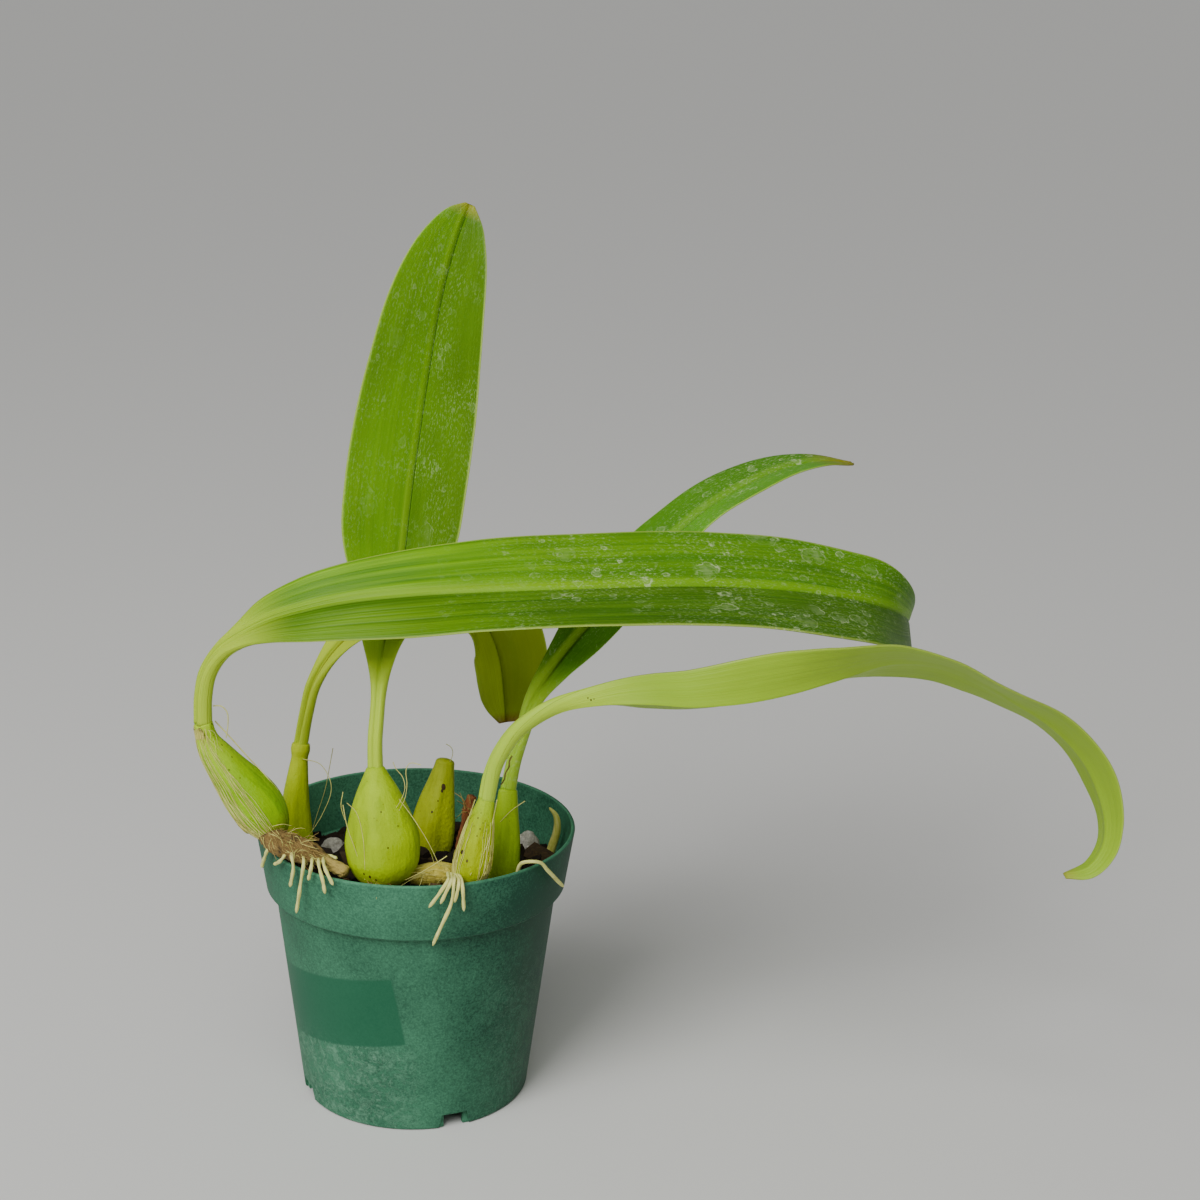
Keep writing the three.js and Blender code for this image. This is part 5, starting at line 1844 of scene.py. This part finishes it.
@dataclass(frozen=True)
class Undergrowth:
    """The rhizomes with their roots, and the slim pieces that stand in the mix."""

    corky: FibrousSkin = FibrousSkin(
        "dry_rhizome_skin", "#6e5428", "#9a8048", "#20140a", width=0.6, length=2.6, stained=0.85,
        depth=0.4, end="#ae9850", end_from=0.69,
    )
    straw: FibrousSkin = FibrousSkin(
        "straw_sheath", "#b0a024", "#cfc25c", "#6e5c18", length=7.0, stained=0.4,
    )
    velamen: FibrousSkin = FibrousSkin(
        "spongy_root_skin", "#d6d670", "#e8e898", "#9c9038", length=2.6, stained=0.4, roughness=0.7,
        depth=0.1,
    )
    shoot: FibrousSkin = FibrousSkin(
        "young_shoot_skin", "#b2b23c", "#d0cc7c", "#6f7828", length=8.0, roughness=0.55, depth=0.08,
    )
    dry: FibrousSkin = FibrousSkin(
        "dry_flower_stem", "#5a2c10", "#8a5228", "#1f0f06", width=0.4, length=4.0, stained=0.7,
    )

    def roots(self, name: str, paths: tuple[tuple[Point, ...], ...]) -> Piece:
        """Model a row of roots as one piece.

        Args:
            name: the piece's name.
            paths: the path of each root.

        Returns:
            The joined roots.
        """
        stems = (Stem(path, ROOT_RADII, roughen=0.07) for path in paths)
        return joined([stem.build(f"{name}_{i}", 14, 36) for i, stem in enumerate(stems)], name)

    def build(self) -> dict[str, Piece]:
        """Model and settle all of them.

        Returns:
            The rhizomes by name, for what is laid on them.
        """
        velamen = self.velamen.build()
        left = LEFT_RHIZOME.build("rhizome_left_stem", 40, 90)
        settle(left, Slot.RHIZOME, self.corky.build(), "rhizome_left")
        settle(self.roots("rhizome_left_roots", LEFT_ROOTS), Slot.ROOT, velamen, "rhizome_left")
        right = RIGHT_RHIZOME.build("rhizome_right_stem", 36, 60)
        settle(right, Slot.RHIZOME, self.straw.build(), "rhizome_right")
        settle(self.roots("rhizome_right_roots", RIGHT_ROOTS), Slot.ROOT, velamen, "rhizome_right")
        settle(SPROUT.build("young_shoot", 24, 50), Slot.SPROUT, self.shoot.build(), "sprout")
        settle(FLOWER_STUB.build("dry_stub", 24, 60), Slot.DRY_STEM, self.dry.build(), "flower_stub")
        settle(STRAY_ROOT.build("stray_root", 18, 90), Slot.ROOT, velamen, "root_over_rim")
        return {"left_rhizome": left, "right_rhizome": right}


@dataclass(frozen=True)
class SheathScrap:
    """A torn scrap of papery sheath that still clings to a bulb."""

    stem: Stem
    turn: float
    reach: float
    span: tuple[float, float]
    narrow: float = 0.7
    fray: float = 0.3
    lift: float = 0.14
    thickness: float = 0.14

    def build(self, name: str, finish: bpy.types.Material) -> None:
        """Model the scrap and settle it.

        Args:
            name: the piece's name.
            finish: its material.
        """
        choose()
        bpy.ops.mesh.primitive_grid_add(x_subdivisions=22, y_subdivisions=34, size=2)
        piece = named(bpy.context.object, name)
        grain = piece.data.attributes.new("grain", "FLOAT_VECTOR", "POINT")
        low, high = self.span
        for corner in piece.data.vertices:
            across, up = corner.co.x, (corner.co.y + 1) / 2
            torn = noise.noise(Vector((across * 2.3, self.turn, 0)))
            torn += 0.6 * noise.noise(Vector((across * 7, self.turn, 4)))
            ragged = noise.noise(Vector((up * 5, self.turn, 8)))
            half = self.reach * (1 - self.narrow * up**1.3) * (1 + 0.25 * ragged)
            rise = low + (high - low) * up * (1 - self.fray * (0.5 + torn))
            curl = 0.5 * up**3 * abs(across) + 0.12 * noise.noise(Vector((across * 3, up * 4, self.turn)))
            spot = self.stem.on_skin(self.turn + across * half, rise, self.lift + abs(curl))
            corner.co = inside_box(spot, 2 * self.thickness) * MM
            grain.data[corner.index].vector = Vector((across * half * 0.09, 0, rise * 40))
        solid = piece.modifiers.new("sheet", "SOLIDIFY")
        solid.thickness = self.thickness * MM
        solid.offset = -1
        apply_modifiers(piece)
        choose(piece)
        bpy.ops.object.shade_smooth()
        settle(piece, Slot.RHIZOME, finish)


SHEATH_SCRAPS: dict[str, SheathScrap] = {
    "sheath_neck_left": SheathScrap(STEMS["left_front"], -45, 52, (0.9, 0.99), 0.1, 0.5),
    "sheath_foot_left": SheathScrap(STEMS["left_front"], -62, 38, (0.0, 0.3), 0.6, 0.6),
    "sheath_scrap_right": SheathScrap(STEMS["right_front"], -72, 30, (0.0, 0.5), 0.6, 0.5),
    "sheath_strip_right": SheathScrap(STEMS["right_front"], 62, 24, (0.0, 0.55), 0.7, 0.5),
}
# Each scar is a pixel of the photograph and a radius in millimetres, under what carries it.
SCARS: tuple[tuple[str, Keys], ...] = (
    ("rear", ((443.5, 787, 0.75), (442, 791, 0.4))),
    ("centre", ((370, 877, 0.4), (376, 880, 0.3), (364, 874, 0.3))),
    ("left_front", ((212, 724, 0.22), (216, 731, 0.18), (222, 745, 0.2), (214, 741, 0.16),
                    (232, 757, 0.18), (229, 770, 0.2), (240, 778, 0.16))),
    ("right_front", ((478, 800, 0.2), (462, 852, 0.5), (467, 861, 0.35))),
    ("centre", ((381, 812, 0.22), (398, 826, 0.2), (388, 848, 0.24))),
    ("rear", ((432, 812, 0.3), (438, 801, 0.22))),
    ("right_front_leaf", ((588, 698, 0.2), (591, 700, 0.24), (594, 699, 0.16))),
    ("right_front", ((478, 818, 0.2), (483, 823, 0.16), (480, 829, 0.2), (486, 831, 0.14),
                     (477, 836, 0.18), (484, 838, 0.16), (474, 826, 0.14), (488, 825, 0.14),
                     (481, 813, 0.14))),
)
# Each hair is a row of pixels, the names of what carries it, and its radius in millimetres.
HAIRS: tuple[tuple[tuple[Pixel, ...], tuple[str, ...], float], ...] = (
    (((213, 706), (221, 706), (227, 712), (228, 724), (226, 738)), ("left_front", "left_front_leaf"), 0.2),
    (((215, 721), (230, 737), (247, 756), (264, 774), (278, 790)), ("left_front",), 0.22),
    (((303, 759), (320, 764), (330, 780), (331, 792), (322, 815), (306, 840)), ("left_rear", "mix"), 0.13),
    (((333, 748), (329, 770), (325, 790), (317, 815), (309, 841)), ("centre", "mix"), 0.13),
    (((343, 805), (347, 826), (356, 852), (365, 880)), ("centre", "left_rhizome"), 0.14),
    (((347, 803), (356, 812), (363, 838), (365, 870)), ("centre",), 0.12),
    (((343, 792), (341, 806), (345, 820)), ("centre", "mix"), 0.12),
    (((393, 762), (396, 769), (402, 776), (405, 787), (402, 798), (396, 808)), ("centre",), 0.12),
    (((421, 765), (410, 763), (406, 770), (407, 784), (405, 798), (399, 811)), ("centre",), 0.12),
    (((399, 799), (413, 818), (428, 842), (440, 867)), ("centre", "right_rhizome"), 0.14),
    (((465, 810), (452, 822), (438, 838), (425, 855)), ("right_front", "mix", "right_rhizome"), 0.14),
    (((447, 856), (432, 866), (418, 874), (405, 880)), ("right_rhizome", "centre"), 0.16),
    (((525, 801), (512, 810), (500, 822)), ("right_rear", "right_front"), 0.14),
    (((446, 744), (451, 747), (453, 753), (450, 762)), ("rear",), 0.13),
)
LYING_HAIRS: tuple[tuple[tuple[Pixel, ...], float], ...] = (
    (((475, 800), (468, 822), (461, 842), (458, 860)), 0.2),
    (((497, 800), (492, 822), (487, 845), (470, 875)), 0.16),
)
# A dark line along the edge of the right front leaf's stalk, laid as a thin brown strand.
DARK_LINE_ON_STALK: tuple[Pixel, ...] = (
    (512, 756), (509.5, 761), (509, 767), (505.5, 773), (504.5, 779), (501, 785),
)
RHIZOME_TUFTS: tuple[Point, ...] = (
    (-43, -27, 96.6), (-40, -31, 96.6), (-37, -34, 96.4), (-34, -35.6, 96), (-31, -37.4, 94.6),
)


@dataclass(frozen=True)
class Tuft:
    """A tuft of short fibres. spread is how far they stray from its middle, in millimetres."""

    root: Point
    way: Point
    count: int
    length: float
    spread: float
    radius: float = 0.12

    def grow(self, threads: Strands, draw: random.Random) -> None:
        """Grow the fibres.

        Args:
            threads: the piece that they join.
            draw: the source of chance.
        """

        def stray(spread: float, reach: float = 1.0) -> Vector:
            """A step to a random side."""
            return Vector([draw.gauss(0, spread) * reach for _ in range(3)])

        for _ in range(self.count):
            foot = Vector(self.root) + stray(self.spread)
            lean = (Vector(self.way).normalized() + stray(0.35)).normalized()
            reach = self.length * (0.5 + draw.random())
            bend = stray(0.14, reach)
            end = foot + lean * reach + bend + Vector((0, 0, -0.1 * reach))
            threads.add((foot, foot + lean * reach * 0.5 + bend, end), self.radius)


@dataclass(frozen=True)
class SheathFibres:
    """The fibres of a rotted sheath, lengthwise over a sector of a bulb in degrees."""

    stem: Stem
    turns: tuple[float, float]
    span: tuple[float, float]
    count: int
    radius: float
    clear: float = 0.16
    steps: int = 9

    def lay(self, threads: Strands, draw: random.Random) -> None:
        """Lay the fibres.

        Args:
            threads: the piece that they join.
            draw: the source of chance.
        """
        (first, last), (foot, top) = self.turns, self.span
        for i in range(self.count):
            turn = first + (last - first) * (i + draw.random() * 0.8) / self.count
            low = foot + 0.12 * draw.random() ** 2
            high = top - 0.5 * draw.random() ** 1.5 * (top - foot)
            drift = draw.gauss(0, 10)
            points = []
            for k in range(self.steps + 1):
                side = turn + drift * k / self.steps + draw.gauss(0, 1.6)
                rise = low + (high - low) * k / self.steps
                points.append(self.stem.on_skin(side, rise, self.clear))
            threads.add(points, self.radius * (0.6 + 0.6 * draw.random()), 0.6)


@dataclass
class FineThreads:
    """Hairs, sheath fibres and dry strands, each laid on what carries it."""

    studio: Studio
    carriers: dict[str, Piece]
    seed: int = 31
    trees: dict[str, BVHTree] = field(default_factory=dict)
    depths: dict[str, float] = field(default_factory=dict)

    def __post_init__(self) -> None:
        """Make each carrier ready to be touched by a ray."""
        for name, piece in self.carriers.items():
            corners = [corner.co / MM for corner in piece.data.vertices]
            faces = [tuple(face.vertices) for face in piece.data.polygons]
            self.trees[name] = BVHTree.FromPolygons(corners, faces)
            self.depths[name] = sum(corner.y for corner in corners) / len(corners)

    def touch(self, pixel: Pixel, carriers: tuple[str, ...]) -> tuple[Vector, Vector] | None:
        """Find where the view through a pixel meets a carrier.

        Args:
            pixel: its place in the photograph's frame.
            carriers: the names of what can carry the thread.

        Returns:
            The point and the way out of the carrier, or None where the view misses them all.
        """
        eye = self.studio.EYE
        way = (self.studio.through(pixel, 0.0) - eye).normalized()
        hits = [self.trees[name].ray_cast(eye, way) for name in carriers]
        hits = [(hit[3], hit[0], hit[1]) for hit in hits if hit[0] is not None]
        if not hits:
            return None
        _, point, normal = min(hits, key=lambda hit: hit[0])
        return point, normal if normal.dot(way) < 0 else -normal

    def trace(
        self, pixels: tuple[Pixel, ...], carriers: tuple[str, ...], lying: bool = False
    ) -> list[Vector]:
        """Turn a traced thread into points that its carriers hold.

        Args:
            pixels: the thread in the photograph's frame.
            carriers: the names of what can carry it.
            lying: whether it lies on its carriers all the way, or crosses the air between
                its two ends.

        Returns:
            The points. An end that the view misses takes the depth of the other end.
        """
        touches = [self.touch(pixel, carriers) for pixel in pixels]
        points = [touch and touch[0] + touch[1] * HAIR_CLEAR for touch in touches]
        ends = [point.y for point in (points[0], points[-1]) if point is not None]
        ends = ends or [self.depths[carriers[0]]]
        for i, pixel in enumerate(pixels):
            if points[i] is None or not lying:
                depth = ends[0] + (ends[-1] - ends[0]) * i / (len(pixels) - 1)
                points[i] = self.studio.through(pixel, depth)
        return points

    def scars(self) -> None:
        """Press the dark scars and specks into the skins of the bulbs."""
        made = []
        for carrier, spots in SCARS:
            for x, y, radius in spots:
                point, normal = self.touch((x, y), (carrier,))
                choose()
                bpy.ops.mesh.primitive_ico_sphere_add(
                    subdivisions=2,
                    radius=radius * MM,
                    location=point * MM,
                    rotation=normal.to_track_quat("Z", "Y").to_euler(),
                    scale=(1.0, 1.5, 0.18),
                )
                made.append(bpy.context.object)
        cork = DryFibre("dark_scar_cork", "#4a3410", "#241606", 0.8)
        settle(joined(made, "dark_scars"), Slot.DRY_STEM, cork.build())

    def build(self) -> None:
        """Lay all the threads and settle them."""
        paper = FibrousSkin(
            "papery_sheath", "#a8a834", "#d2cc7c", "#7c6c24", width=0.35, length=9.0, stained=0.45,
            depth=0.12,
        ).build()
        for name, scrap in SHEATH_SCRAPS.items():
            scrap.build(name, paper)
        self.scars()
        draw = random.Random(self.seed)
        straw, brown = Strands("sheath_fibres"), Strands("brown_tufts")
        left, right = STEMS["left_front"], STEMS["right_front"]
        for fibres in (
            SheathFibres(left, (-112, 20), (0.02, 1.0), 44, 0.1),
            SheathFibres(left, (-104, -40), (0.0, 0.5), 20, 0.1),
            SheathFibres(right, (-95, -35), (0.0, 0.85), 14, 0.11),
            SheathFibres(right, (25, 90), (0.0, 0.85), 18, 0.1),
        ):
            fibres.lay(straw, draw)
        for pixels, carriers, radius in HAIRS:
            straw.add(self.trace(pixels, carriers), radius, HAIR_TIP)
        for pixels, radius in LYING_HAIRS:
            straw.add(self.trace(pixels, ("right_front",), lying=True), radius, HAIR_TIP)
        for tuft in (
            Tuft((-61.6, -28.4, 129.5), (0.3, -0.2, -0.9), 16, 7, 0.8, 0.1),
            Tuft((-8.4, -44.6, 86), (0.3, -0.5, 0.1), 12, 3, 0.8, 0.1),
            Tuft((8, -35.2, 87.2), (-0.9, -0.5, 0.1), 15, 8, 1.5, 0.09),
            Tuft((14.8, -38, 89), (-0.2, -0.6, 0.6), 10, 6, 1.2, 0.09),
        ):
            tuft.grow(straw, draw)
        for x, y, z in RHIZOME_TUFTS:
            Tuft((x, y, z), (0.6, -0.5, -0.15), 44, 4.6, 1.4).grow(brown, draw)
            Tuft((x, y - 1, z), (0.6, -0.5, 0.0), 12, 4.4, 1.5, 0.1).grow(straw, draw)
        Tuft((-10.5, -42.5, 86.5), (0.7, -0.6, -0.3), 18, 4, 0.8).grow(brown, draw)
        # A thin brown strand along the dark line on the right front leaf's stalk.
        brown.add(self.trace(DARK_LINE_ON_STALK, ("right_front_leaf",), lying=True), 0.26, 0.8, 0.6)
        Tuft((17.6, -18.6, 101.5), (-0.5, -0.5, 0.9), 10, 5, 0.7, 0.2).grow(brown, draw)
        settle(straw.build(), Slot.RHIZOME, DryFibre("dry_straw_fibre").build())
        dark = DryFibre("dry_brown_fibre", "#ac9250", "#6a4c24", 0.8)
        settle(brown.build(), Slot.RHIZOME, dark.build())


def keep_off_spots() -> tuple[Point, ...]:
    """The circles on the mix that bulbs and slim pieces fill."""
    spots = []
    for stem in (*STEMS.values(), FLOWER_STUB, SPROUT, STRAY_ROOT):
        for i in range(KEEP_OFF_STEPS + 1):
            fraction = i / KEEP_OFF_STEPS
            point = Route(stem.path).at(fraction)
            if point.z - soil_height(point.x, point.y) < KEEP_OFF_HEIGHT:
                spots.append((point.x, point.y, keyed(stem.radii, fraction)[0]))
    return tuple(spots)


def main() -> None:
    """Build every sub-assembly in order."""
    logging.basicConfig(level=logging.INFO, format="%(name)s: %(message)s")
    NurseryPot().build()
    mix = PottingMix(keep_off_spots()).build()
    stone = PorousStone("porous_pumice").build()
    for name, lump in PUMICE.items():
        lump.build(name, stone)
    foliage = Foliage().build()
    rhizomes = Undergrowth().build()
    studio = Studio()
    FineThreads(studio, {**foliage, **rhizomes, "mix": mix}).build()
    studio.build()


if __name__ == "__main__":
    main()
